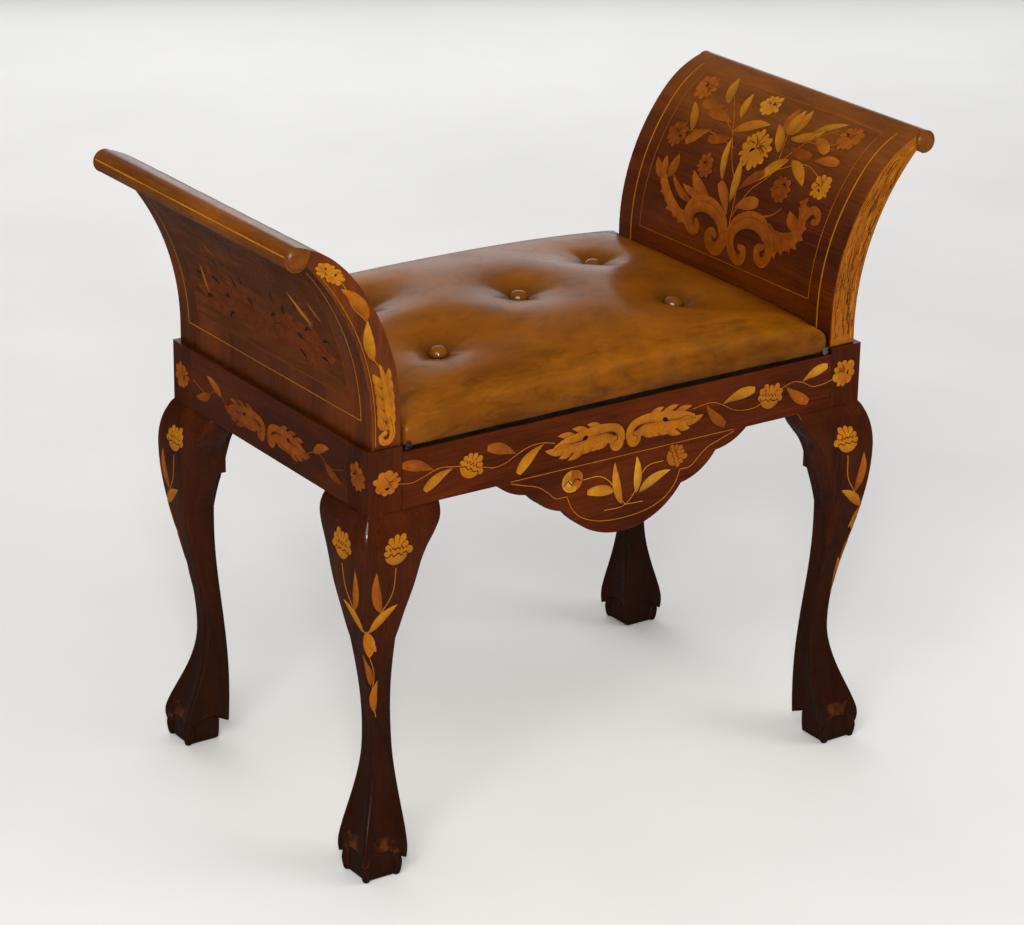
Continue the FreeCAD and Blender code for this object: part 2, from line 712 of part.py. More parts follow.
# Aprons: a scalloped board under the middle of each long rail, flush with its face.
apron = doc.addObject("PartDesign::Body", "front_apron")
scallop = size("apron_scallop_radius")
lobe, lobe_drop, drop = size("apron_lobe"), size("apron_lobe_drop"), size("apron_drop")
sag = drop - lobe_drop
lobe_radius = (lobe * lobe + sag * sag) / (sag * 2)
cusp = (size("apron_cusp"), rail_bottom - size("apron_cusp_drop"))
lobe_start = (lobe, rail_bottom - lobe_drop)
apron_half = [lobe_start, cusp, (size("apron_half_width"), rail_bottom)]
apron_corners = [(-x, z) for x, z in reversed(apron_half)] + apron_half
apron_bends = {0: scallop, 1: scallop, 2: lobe_radius, 3: scallop, 4: scallop}
apron_sketch = outline(apron, "XZ_Plane", "apron_outline", apron_corners, apron_bends)
apron_thickness = size("apron_thickness")
bind(apron_sketch, "AttachmentOffset.Base.z", half_depth - apron_thickness / 2)
pad_both_ways(apron, apron_sketch, apron_thickness)
node(apron, "front_apron")
node(mirrored("back_apron", apron, "y"), "back_apron")

# The music well's floor lies on cleats inside the rails, notched round the posts.
cleat_top = rail_bottom + size("cleat_height")
board_top = cleat_top + size("bottom_board_thickness")
slack = size("board_clearance")
well_width = half_width - size("side_rail_thickness")
front_cleat = block("cleat_front_stock", (-(inner_width - slack), inner_width - slack),
                    (-rail_inner, -(rail_inner - size("cleat_width"))), (rail_bottom, cleat_top))
right_cleat = block("cleat_right", (well_width - size("cleat_width"), well_width),
                    (-(rail_inner - size("cleat_width") - slack), rail_inner - size("cleat_width") - slack),
                    (rail_bottom, cleat_top))
board_stock = block("board_stock", (-(well_width - slack), well_width - slack),
                    (-(rail_inner - slack), rail_inner - slack), (cleat_top, board_top))
notches = [
    block("board_notch_%s_%s" % (front, side), along, across_notch, (cleat_top, board_top))
    for side, along in (("left", (-half_width, -(inner_width - slack))),
                        ("right", (inner_width - slack, half_width)))
    for front, across_notch in (("front", (-half_depth, -(inner_depth - slack))),
                                ("back", (inner_depth - slack, half_depth)))
]
cleat_middle = rail_inner - size("cleat_width") / 2
board_screw_places = [
    (x, y, board_top)
    for x in (-size("board_screw_run"), zero, size("board_screw_run"))
    for y in (-cleat_middle, cleat_middle)
]
board_screws, board_screw_holes = screws_and_holes(
    "board_screw", board_screw_places, size("board_screw_length"), "-z")
node(cut("bottom_board", board_stock, notches + board_screw_holes), "bottom_board")
node(group("bottom_board_screws", board_screws), "bottom_board_screws")
front_holes = [hole for hole, place in zip(board_screw_holes, board_screw_places) if place[1].value < 0]
cleat_front = node(cut("cleat_front_drilled", front_cleat, front_holes), "cleat_front")
node(mirrored("cleat_back", cleat_front, "y"), "cleat_back")
node(right_cleat, "cleat_right")
node(mirrored("cleat_left", right_cleat, "x"), "cleat_left")

# Lid board: black edged, with a lip behind the hinge pins that stops the open lid on the back rail.
pad_width = inner_width - size("lid_side_gap")
pad_depth = half_depth - size("pad_setback")
board_inset = size("lid_board_inset")
pad_bottom = lid_bottom + size("lid_board_thickness")
seat_board_low = pad_bottom + size("leather_thickness")
seat_board_high = seat_board_low + size("seat_board_thickness")
lid_back = pin_y + size("lid_overhang")
lid_stock = block("lid_stock", (-(pad_width - board_inset), pad_width - board_inset),
                  (-(pad_depth - board_inset), lid_back), (lid_bottom, pad_bottom))
lid_cuts = []
for side, middle in hinge_sides:
    along = (middle - half_hinge - leaf_room, middle + half_hinge + leaf_room)
    lid_cuts.append(block("lid_gain_" + side, along, (leaf_front - leaf_room, lid_back),
                          (lid_bottom - leaf_room, lid_bottom + size("leaf_thickness"))))
    lid_cuts.append(block("lid_notch_" + side,
                          (middle - half_hinge - size("pin_head_length") - size("knuckle_gap"),
                           middle + half_hinge + size("pin_head_length") + size("knuckle_gap")),
                          (pin_y - knuckle_clear, lid_back + leaf_room),
                          (lid_bottom - leaf_room, pad_bottom + leaf_room)))
lid_screw_places = [
    (x, y, lid_bottom)
    for x in (-size("lid_screw_run"), zero, size("lid_screw_run"))
    for y in (-size("lid_screw_spread"), size("lid_screw_spread"))
]
lid_screws, lid_screw_holes = screws_and_holes(
    "lid_board_screw", lid_screw_places, size("lid_screw_length"), "z")
node(cut("lid_board", lid_stock, lid_cuts + lid_leaf_screw_holes + lid_screw_holes), "lid_board")
node(group("lid_board_screws", lid_screws), "lid_board_screws")

# Hinges: two knuckles on the rail leaf hold the pin, the lid leaf's knuckle turns on it between them.
knuckle_length = (size("hinge_length") - size("knuckle_gap") * 2) / 3
pin_bore = size("pin_radius") + size("pin_clearance")


def hinge(side, middle):
    start = middle - half_hinge
    knuckle_starts = [start + (knuckle_length + size("knuckle_gap")) * step for step in (0, 1, 2)]
    along = (middle - half_hinge, middle + half_hinge)

    def leaf(name, turning, low, high, holes):
        plate = block(name + "_plate", along, (leaf_front, pin_y), (low, high))
        others = [n for n in (0, 1, 2) if n not in turning]
        room_for = [
            bar("%s_room_%d" % (name, n), knuckle_clear, knuckle_length + size("knuckle_gap") * 2,
                (knuckle_starts[n] - size("knuckle_gap"), pin_y, pin_z), "x")
            for n in others
        ]
        cleared = cut(name + "_cleared", plate, room_for)
        knuckles = [
            bar("%s_knuckle_%d" % (name, n), size("knuckle_radius"), knuckle_length,
                (knuckle_starts[n], pin_y, pin_z), "x")
            for n in turning
        ]
        whole = fuse(name + "_whole", [cleared] + knuckles)
        bore = bar(name + "_bore", pin_bore, size("hinge_length"), (start, pin_y, pin_z), "x")
        return node(cut(name, whole, [bore] + holes), name)

    number = [name for name, _ in hinge_sides].index(side) * len(screw_steps)
    chosen = slice(number, number + len(screw_steps))
    leaf("hinge_%s_rail_leaf" % side, (0, 2), rail_leaf_top - size("leaf_thickness"), rail_leaf_top,
         rail_screw_holes[chosen])
    leaf("hinge_%s_lid_leaf" % side, (1,), lid_bottom, lid_bottom + size("leaf_thickness"),
         lid_leaf_screw_holes[chosen])
    shaft = bar("hinge_%s_shaft" % side, size("pin_radius"), size("hinge_length"), (start, pin_y, pin_z), "x")
    heads = [
        bar("hinge_%s_head_%d" % (side, n), size("pin_head_radius"), size("pin_head_length"),
            (x, pin_y, pin_z), "x")
        for n, x in enumerate((start - size("pin_head_length"), middle + half_hinge))
    ]
    node(fuse("hinge_%s_pin" % side, [shaft] + heads), "hinge_%s_pin" % side)


for side, middle in hinge_sides:
    hinge(side, middle)

# Padded seat: a form that is lofted along X through cross sections and dimpled where the buttons are sewn.
section_count = 9


def pad_heights(x):
    away = abs(x / pad_width.value) ** size("pad_fall").value
    side = size("pad_side").value + (size("pad_side_end").value - size("pad_side").value) * away
    top = size("pad_crown").value + (size("pad_crown_end").value - size("pad_crown").value) * away
    return side, top


def pad_edge(x):
    return pad_depth.value - size("pad_waist").value * (1 - (x / pad_width.value) ** 2)


def pad_section(share, inset):
    x = share * pad_width.value
    side, top = pad_heights(x)
    low = pad_bottom.value + inset
    side_top = pad_bottom.value + side - inset
    crown_top = pad_bottom.value + top - inset
    edge = pad_edge(x) - inset
    foot = edge - size("pad_tuck").value
    shoulder = edge - size("pad_roll_in").value
    at_x = share * (pad_width.value - inset)
    corners = [(-foot, low), (foot, low), (shoulder, side_top), (-shoulder, side_top)]
    a, b, c, d = (Vector(at_x, y, z) for y, z in corners)
    middle = (low + side_top) / 2
    edges = [
        Part.makeLine(a, b),
        Part.Arc(b, Vector(at_x, edge, middle), c).toShape(),
        Part.Arc(c, Vector(at_x, 0, crown_top), d).toShape(),
        Part.Arc(d, Vector(at_x, -edge, middle), a).toShape(),
    ]
    return Part.Wire(edges)


# The crown's height over a place, from the arc of the cross section there.
def crown_at(x, y):
    side, top = pad_heights(x)
    half = pad_edge(x) - size("pad_roll_in").value
    rise = top - side
    radius = (half ** 2 + rise ** 2) / (2 * rise)
    return pad_bottom.value + top - radius + math.sqrt(radius ** 2 - y ** 2)


button_places = [(0.0, 0.0)] + [
    (x * size("button_run").value, y * size("button_spread").value)
    for x in (-1, 1) for y in (-1, 1)
]


# A button stands square to the crown, whose lean is read from two points on either side of it.
def button_frame(x, y):
    step = size("button_radius").value
    lean_x = (crown_at(x - step, y) - crown_at(x + step, y)) / (2 * step)
    lean_y = (crown_at(x, y - step) - crown_at(x, y + step)) / (2 * step)
    return Placement(Vector(x, y, crown_at(x, y)), Rotation(Vector(0, 0, 1), Vector(lean_x, lean_y, 1)))


# The dimple's lip is an arc that starts level with the crown and falls to the button's seat.
def dimple(inset):
    reach, depth = size("tuft_reach").value, size("tuft_depth").value
    seat = size("button_radius").value
    lip = ((reach - seat) ** 2 + depth ** 2) / (2 * depth)
    floor = -depth - inset
    seat_here = reach - math.sqrt(depth * (2 * (lip - inset) - depth))
    part_way = math.radians(25)
    bend = Vector(reach - (lip - inset) * math.sin(part_way), 0, (lip - inset) * math.cos(part_way) - lip)
    over = reach
    edges = [
        Part.makeLine(Vector(0, 0, floor), Vector(seat_here, 0, floor)),
        Part.Arc(Vector(seat_here, 0, floor), bend, Vector(reach, 0, -inset)).toShape(),
        Part.makeLine(Vector(reach, 0, -inset), Vector(reach, 0, over)),
        Part.makeLine(Vector(reach, 0, over), Vector(0, 0, over)),
        Part.makeLine(Vector(0, 0, over), Vector(0, 0, floor)),
    ]
    face = Part.Face(Part.Wire(edges))
    return face.revolve(Vector(), Vector(0, 0, 1), 360)


def pad_form(name, inset):
    shares = [2 * number / (section_count - 1) - 1 for number in range(section_count)]
    loft = Part.makeLoft([pad_section(share, inset) for share in shares], True, False)
    tools = []
    for place in button_places:
        tool = dimple(inset)
        tool.Placement = button_frame(*place)
        tools.append(tool)
    return feature(name, loft.cut(tools))


def tie_holes(name):
    made = []
    length = size("tuft_depth").value + size("pad_crown").value
    radius = size("tie_radius").value + size("tie_clearance").value
    for number, place in enumerate(button_places):
        hole = feature("%s_%d" % (name, number), Part.makeCylinder(radius, length, Vector(0, 0, -length)))
        hole.Placement = button_frame(*place)
        made.append(hole)
    return made


leather = size("leather_thickness")
ties = tie_holes("tie_hole")
flange = size("leather_flange")
flange_opening = block("flange_opening", (-(pad_width - flange), pad_width - flange),
                       (-(pad_depth - flange), pad_depth - flange), (lid_bottom, seat_board_low + leather))
pad_outer = pad_form("pad_outer", 0.0)
pad_inner = pad_form("pad_inner", leather.value)
pad_filling = pad_form("pad_filling", leather.value + size("soft_gap").value)
node(cut("leather_cover", pad_outer, [pad_inner, flange_opening] + ties), "leather_cover")

fit = leather + size("soft_gap") + size("pad_tuck") + size("pad_waist")
seat_board_stock = block("seat_board_stock", (-(pad_width - leather - size("soft_gap")),
                                              pad_width - leather - size("soft_gap")),
                         (-(pad_depth - fit), pad_depth - fit), (seat_board_low, seat_board_high))
node(cut("seat_board", seat_board_stock, lid_screw_holes + ties), "seat_board")
below_board = block("below_seat_board", (-half_width, half_width), (-half_depth, half_depth),
                    (lid_bottom, seat_board_high))
node(cut("seat_stuffing", pad_filling, [below_board] + ties), "seat_stuffing")


def button_shape():
    radius, edge, top = (size(word).value for word in ("button_radius", "button_rim", "button_crown"))
    tie = size("tie_radius").value
    seat = size("soft_gap").value - size("tuft_depth").value
    dome = ((radius ** 2 + (top - edge) ** 2) / (2 * (top - edge)))
    lean = math.asin(radius / dome) / 2
    bend = Vector(dome * math.sin(lean), 0, seat + top - dome + dome * math.cos(lean))
    lowest_seat = crown_at(size("button_run").value, size("button_spread").value)
    foot = seat_board_low.value - lowest_seat
    corners = [Vector(0, 0, foot), Vector(tie, 0, foot), Vector(tie, 0, seat), Vector(radius - edge, 0, seat),
               Vector(radius, 0, seat + edge)]
    edges = [Part.makeLine(first, second) for first, second in zip(corners, corners[1:])]
    edges.append(Part.Arc(corners[-1], bend, Vector(0, 0, seat + top)).toShape())
    edges.append(Part.makeLine(Vector(0, 0, seat + top), corners[0]))
    return Part.Face(Part.Wire(edges)).revolve(Vector(), Vector(0, 0, 1), 360)


buttons = []
for number, place in enumerate(button_places):
    button = feature("seat_button_%d" % number, button_shape())
    button.Placement = button_frame(*place)
    buttons.append(button)
node(group("seat_buttons", buttons), "seat_buttons")

doc.recompute()
faults = [item.Label for item in doc.Objects if "Invalid" in item.State or "Error" in item.State]
faults += [item.Label for item in nodes if item.Shape.isNull() or not item.Shape.isValid()]
if faults:
    raise RuntimeError("these did not build: " + ", ".join(faults))
os.makedirs("parts", exist_ok=True)
for item in nodes:
    item.Shape.exportStep("parts/%s.step" % item.Label)
    print("%-24s %3d solids %12.1f mm3" % (item.Label, len(item.Shape.Solids), item.Shape.Volume))
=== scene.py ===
import json
import math
import random
import bmesh
import bpy
import numpy as np
from mathutils import Matrix, Vector

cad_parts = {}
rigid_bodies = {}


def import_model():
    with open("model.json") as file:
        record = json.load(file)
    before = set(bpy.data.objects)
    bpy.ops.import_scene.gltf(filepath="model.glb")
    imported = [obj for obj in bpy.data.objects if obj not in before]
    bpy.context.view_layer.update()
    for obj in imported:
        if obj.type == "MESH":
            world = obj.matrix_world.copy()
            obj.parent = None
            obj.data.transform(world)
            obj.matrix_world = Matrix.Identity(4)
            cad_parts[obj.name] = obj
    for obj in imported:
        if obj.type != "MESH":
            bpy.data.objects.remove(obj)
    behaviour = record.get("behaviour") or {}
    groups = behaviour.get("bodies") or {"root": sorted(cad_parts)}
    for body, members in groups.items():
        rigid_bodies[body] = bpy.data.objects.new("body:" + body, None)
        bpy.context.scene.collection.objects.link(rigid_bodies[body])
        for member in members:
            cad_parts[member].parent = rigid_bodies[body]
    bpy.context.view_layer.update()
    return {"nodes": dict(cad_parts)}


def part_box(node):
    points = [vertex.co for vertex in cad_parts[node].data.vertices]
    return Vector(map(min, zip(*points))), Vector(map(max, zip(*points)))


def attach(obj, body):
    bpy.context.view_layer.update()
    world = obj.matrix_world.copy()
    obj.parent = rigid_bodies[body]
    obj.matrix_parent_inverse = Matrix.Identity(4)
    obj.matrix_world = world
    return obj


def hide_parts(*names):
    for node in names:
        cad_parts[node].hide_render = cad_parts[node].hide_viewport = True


for item in list(bpy.data.objects):
    bpy.data.objects.remove(item)
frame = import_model()
nodes = frame["nodes"]
mm = 0.001
print("frame loaded,", len(nodes), "nodes")

# places that the pieces share, read from the frame, in millimetres
frontRailBox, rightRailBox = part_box("front_rail"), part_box("right_rail")
postX = rightRailBox[1].x / mm        # outer face of the posts, from the middle
postY = -frontRailBox[0].y / mm       # front face of the posts
railLow = frontRailBox[0].z / mm
postTop = rightRailBox[1].z / mm
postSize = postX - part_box("right_end_panel")[0].x / mm
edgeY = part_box("right_end_panel")[1].y / mm
sideSigns, endSigns = (("left", -1), ("right", 1)), (("front", -1), ("back", 1))
legCorners = [(end, endSign, side, sideSign) for end, endSign in endSigns for side, sideSign in sideSigns]


def tint(red, green, blue):  # display colour, 0 to 255, as the linear colour a shader takes
    parts = [part / 255 for part in (red, green, blue)]
    return [p / 12.92 if p <= 0.04045 else ((p + 0.055) / 1.055) ** 2.4 for p in parts] + [1.0]


# node helpers

def put(tree, kind, inputs=None, **settings):
    node = tree.nodes.new("ShaderNode" + kind)
    for key, value in settings.items():
        setattr(node, key, value)
    for key, value in (inputs or {}).items():
        if isinstance(value, bpy.types.NodeSocket):
            tree.links.new(value, node.inputs[key])
        else:
            node.inputs[key].default_value = value
    return node


def sums(tree, operation, first, second=0.5):
    return put(tree, "Math", {0: first, 1: second}, operation=operation).outputs[0]


def times(tree, first, second):
    return sums(tree, "MULTIPLY", first, second)


def plus(tree, first, second):
    return sums(tree, "ADD", first, second)


def mixColour(tree, factor, first, second, mode="MIX"):
    return put(tree, "Mix", {0: factor, 6: first, 7: second}, data_type="RGBA", blend_type=mode).outputs[2]


def spread(tree, value, low, high, toLow=0.0, toHigh=1.0):
    return put(tree, "MapRange", {0: value, 1: low, 2: high, 3: toLow, 4: toHigh}).outputs[0]


def scaled(tree, vector, factors):
    return put(tree, "VectorMath", {0: vector, 1: factors}, operation="MULTIPLY").outputs[0]


def noise(tree, vector, scale, detail=3.0, roughness=0.55, distortion=0.0):
    wanted = {"Vector": vector, "Scale": scale, "Detail": detail, "Roughness": roughness,
              "Distortion": distortion}
    return put(tree, "TexNoise", wanted).outputs[0]


def newGroup(name, takes, gives):
    tree = bpy.data.node_groups.new(name, "ShaderNodeTree")
    for label, kind, value in takes:
        socket = tree.interface.new_socket(name=label, in_out="INPUT", socket_type="NodeSocket" + kind)
        if value is not None:
            socket.default_value = value
    for label, kind in gives:
        tree.interface.new_socket(name=label, in_out="OUTPUT", socket_type="NodeSocket" + kind)
    return tree, tree.nodes.new("NodeGroupInput").outputs, tree.nodes.new("NodeGroupOutput").inputs


def filled(tree, groupTree, inputs):
    return put(tree, "Group", inputs, node_tree=groupTree).outputs


# broad figure, fine fibres and pores that run along the first axis of the coordinates
def makeWoodGrain():
    takes = [("Coords", "Vector", None), ("Light", "Color", tint(120, 60, 30)),
             ("Dark", "Color", tint(60, 25, 12)), ("Figure", "Float", 26.0), ("Fibre", "Float", 620.0),
             ("Pores", "Float", 0.35)]
    tree, given, result = newGroup("wood grain", takes, [("Color", "Color"), ("Height", "Float")])
    figure = noise(tree, scaled(tree, given["Coords"], (0.16, 1, 1)), given["Figure"], 4.0, 0.55, 1.2)
    fibre = noise(tree, scaled(tree, given["Coords"], (0.035, 1, 1)), given["Fibre"], 3.0, 0.6)
    pores = noise(tree, scaled(tree, given["Coords"], (0.07, 1, 1)), times(tree, given["Fibre"], 2.6), 2.0)
    shade = plus(tree, times(tree, figure, 0.62), times(tree, fibre, 0.38))
    body = mixColour(tree, spread(tree, shade, 0.36, 0.64), given["Dark"], given["Light"])
    pits = times(tree, spread(tree, pores, 0.60, 0.72), given["Pores"])
    tree.links.new(mixColour(tree, pits, body, tint(24, 9, 4)), result["Color"])
    tree.links.new(sums(tree, "SUBTRACT", times(tree, fibre, 0.4), pits), result["Height"])
    return tree


# old French polish: cloudy tone, grime and painted shade in the joints, rubbed arrises
def makePolish():
    takes = [("Color", "Color", tint(90, 40, 20)), ("Coords", "Vector", None), ("Rough", "Float", 0.3),
             ("GrimeAndShade", "Float", 0.7), ("Wear", "Float", 0.4), ("Rubbed", "Color", tint(160, 95, 45))]
    tree, given, result = newGroup("old polish", takes, [("Color", "Color"), ("Roughness", "Float")])
    cloud = noise(tree, given["Coords"], 11.0, 4.0)
    toned = mixColour(tree, spread(tree, cloud, 0.38, 0.66, 0.0, 0.34), given["Color"], tint(38, 14, 6))
    # ambient occlusion darkens the colour in joints and hollows: grime and painted shade
    corner = put(tree, "AmbientOcclusion", {"Distance": 0.007}, samples=6).outputs["AO"]
    grimeShade = times(tree, spread(tree, corner, 0.9, 0.35), given["GrimeAndShade"])
    grimeShaded = mixColour(tree, grimeShade, toned, tint(16, 7, 4))
    arris = put(tree, "AmbientOcclusion", {"Distance": 0.0016}, samples=6, inside=True,
                only_local=True).outputs["AO"]
    broken = spread(tree, noise(tree, given["Coords"], 70.0, 4.0), 0.42, 0.62)
    rub = times(tree, times(tree, spread(tree, arris, 0.75, 0.3), broken), given["Wear"])
    tree.links.new(mixColour(tree, rub, grimeShaded, given["Rubbed"]), result["Color"])
    smear = spread(tree, noise(tree, given["Coords"], 38.0, 5.0, 0.65), 0.35, 0.7, -0.06, 0.1)
    dull = plus(tree, plus(tree, given["Rough"], smear), times(tree, grimeShade, 0.25))
    tree.links.new(dull, result["Roughness"])
    return tree


woodGrain = makeWoodGrain()
oldPolish = makePolish()


def newMaterial(name, shaderValues):
    material = bpy.data.materials.new(name)
    material.use_nodes = True
    tree = material.node_tree
    shader = tree.nodes["Principled BSDF"]
    for key, value in shaderValues.items():
        shader.inputs[key].default_value = value
    return material, tree, shader


def objectCoords(tree):
    return put(tree, "TexCoord").outputs["Object"]


grainOrder = {"x": (0, 1, 2), "y": (1, 0, 2), "z": (2, 0, 1)}


def grainCoords(tree, axis):
    parts = put(tree, "SeparateXYZ", {0: objectCoords(tree)}).outputs
    order = grainOrder[axis]
    return put(tree, "CombineXYZ", {n: parts[order[n]] for n in range(3)}).outputs[0]


def bump(tree, shader, height, strength, distance):
    normal = put(tree, "Bump", {"Strength": strength, "Distance": distance, "Height": height}).outputs[0]
    tree.links.new(normal, shader.inputs["Normal"])


def woodTone(tree, coords, light, dark, figure=26.0):
    wanted = {"Coords": coords, "Light": tint(*light), "Dark": tint(*dark), "Figure": figure}
    return filled(tree, woodGrain, wanted)


def layFinish(tree, shader, colour, roughness):
    tree.links.new(colour, shader.inputs["Base Color"])
    tree.links.new(roughness, shader.inputs["Roughness"])


def layPolish(tree, shader, colour, coords, values):
    finish = filled(tree, oldPolish, {"Color": colour, "Coords": coords, **values})
    layFinish(tree, shader, finish["Color"], finish["Roughness"])


polishGloss = {"Coat Weight": 0.55, "Coat Roughness": 0.12, "Specular IOR Level": 0.1}
satinGloss = {"Coat Weight": 0.2, "Coat Roughness": 0.24, "Specular IOR Level": 0.1}
armGloss = {"Coat Weight": 0.6, "Coat Roughness": 0.3, "Specular IOR Level": 0.1}


def polishedWood(name, light, dark, axis, figure=26.0, rough=0.3, wear=0.4, rubbed=(160, 95, 45), grimeAndShade=0.7,
                 gloss=polishGloss, footDark=0.0):
    material, tree, shader = newMaterial(name, gloss)
    coords = grainCoords(tree, axis)
    grain = woodTone(tree, coords, light, dark, figure)
    colour = grain["Color"]
    if footDark:  # darker towards the feet
        height = put(tree, "SeparateXYZ", {0: objectCoords(tree)}).outputs[2]
        colour = mixColour(tree, spread(tree, height, 0.13, 0.31, footDark, 0.0), colour, tint(20, 7, 3))
    aged = {"Rough": rough, "Wear": wear, "Rubbed": tint(*rubbed), "GrimeAndShade": grimeAndShade}
    layPolish(tree, shader, colour, coords, aged)
    bump(tree, shader, grain["Height"], 0.12, 0.0003)
    return material


legMahogany = polishedWood("leg mahogany", (82, 32, 4), (43, 14, 2), "z", rubbed=(126, 62, 12),
                           footDark=0.68)
railMahogany = polishedWood("rail mahogany", (98, 37, 3), (58, 19, 2), "x", rubbed=(140, 72, 14),
                            gloss=satinGloss)
sideMahogany = polishedWood("side mahogany", (82, 32, 4), (46, 15, 2), "y", rubbed=(136, 68, 16))
burrWalnut = polishedWood("burr walnut", (106, 51, 10), (74, 34, 6), "y", figure=60.0, wear=0.0, grimeAndShade=0.2,
                          gloss=satinGloss)
innerBeech = polishedWood("well beech", (176, 132, 84), (128, 86, 48), "x", rough=0.55, wear=0.1, grimeAndShade=0.9)


# the arms lighten as they scroll outward: 0 at the seat, 1 at the roll
def armRise(tree):
    across = put(tree, "SeparateXYZ", {0: objectCoords(tree)}).outputs[0]
    return spread(tree, sums(tree, "ABSOLUTE", across), 0.262, 0.338)


armTones = dict(lowLight=(104, 42, 4), lowDark=(60, 21, 2), highLight=(152, 84, 14), highDark=(110, 55, 8),
                figure=22.0)
armPolish = {"Rough": 0.28, "Wear": 0.4, "GrimeAndShade": 0.7, "Rubbed": tint(176, 104, 40)}


def armWood(tree, coords):
    t = armTones
    low = woodTone(tree, coords, t["lowLight"], t["lowDark"], t["figure"])
    high = woodTone(tree, coords, t["highLight"], t["highDark"], t["figure"])
    return mixColour(tree, armRise(tree), low["Color"], high["Color"]), low["Height"]


def crestWood():
    material, tree, shader = newMaterial("crest mahogany", armGloss)
    coords = grainCoords(tree, "y")
    colour, height = armWood(tree, coords)
    layPolish(tree, shader, colour, coords, armPolish)
    bump(tree, shader, height, 0.1, 0.0003)
    return material


crestMahogany = crestWood()


# end panels: mahogany within, orange-brown walnut outside, told apart by the way the face points
def panelVeneer(name, inward):
    material, tree, shader = newMaterial(name, armGloss)
    coords, upright = grainCoords(tree, "y"), grainCoords(tree, "z")
    facing = put(tree, "SeparateXYZ", {0: put(tree, "TexCoord").outputs["Normal"]}).outputs
    seatSide = spread(tree, times(tree, facing[0], inward), 0.0, 0.15)
    edge = spread(tree, sums(tree, "ABSOLUTE", facing[1]), 0.5, 0.8)
    within, height = armWood(tree, coords)
    outside = woodTone(tree, upright, (106, 46, 5), (70, 28, 3), 18.0)
    lipping = woodTone(tree, upright, (122, 56, 7), (80, 32, 4))
    faces = mixColour(tree, seatSide, outside["Color"], within)
    colour = mixColour(tree, edge, faces, lipping["Color"])
    layPolish(tree, shader, colour, coords, armPolish)
    bump(tree, shader, height, 0.1, 0.0003)
    return material


rightVeneer = panelVeneer("right panel veneer", -1.0)
leftVeneer = panelVeneer("left panel veneer", 1.0)


# metal with tarnish and fine scratches
def agedMetal(name, foldHighlight, dull, rough):
    material, tree, shader = newMaterial(name, {"Metallic": 1.0})
    coords = objectCoords(tree)
    tarnish = spread(tree, noise(tree, coords, 90.0, 5.0, 0.65), 0.38, 0.66)
    scratch = noise(tree, scaled(tree, coords, (0.1, 1, 1)), 1500.0, 2.0)
    colour = mixColour(tree, tarnish, tint(*foldHighlight), tint(*dull))
    layFinish(tree, shader, colour, spread(tree, tarnish, 0.0, 1.0, rough, rough + 0.25))
    bump(tree, shader, scratch, 0.1, 0.0002)
    return material


hingeBrass = agedMetal("hinge brass", (196, 158, 84), (112, 82, 38), 0.3)
screwSteel = agedMetal("screw steel", (150, 148, 144), (84, 78, 72), 0.36)


# black cloth with a plain weave and dust
def blackCloth(name, dark, dusty):
    material, tree, shader = newMaterial(name, {"Specular IOR Level": 0.15})
    coords = objectCoords(tree)
    threads = {"Vector": coords, "Scale": 420.0, "Distortion": 0.4}
    warp, weft = (put(tree, "TexWave", threads, bands_direction=way).outputs[1] for way in "XY")
    weave = sums(tree, "MAXIMUM", warp, weft)
    dust = spread(tree, noise(tree, coords, 45.0, 5.0), 0.4, 0.7)
    colour = mixColour(tree, dust, tint(*dark), tint(*dusty))
    layFinish(tree, shader, colour, spread(tree, weave, 0.0, 1.0, 0.8, 0.55))
    bump(tree, shader, weave, 0.35, 0.0004)
    return material


lidBlack = blackCloth("lid black cloth", (9, 8, 8), (24, 21, 19))
wornBlack = blackCloth("worn black cloth", (22, 22, 24), (96, 96, 100))


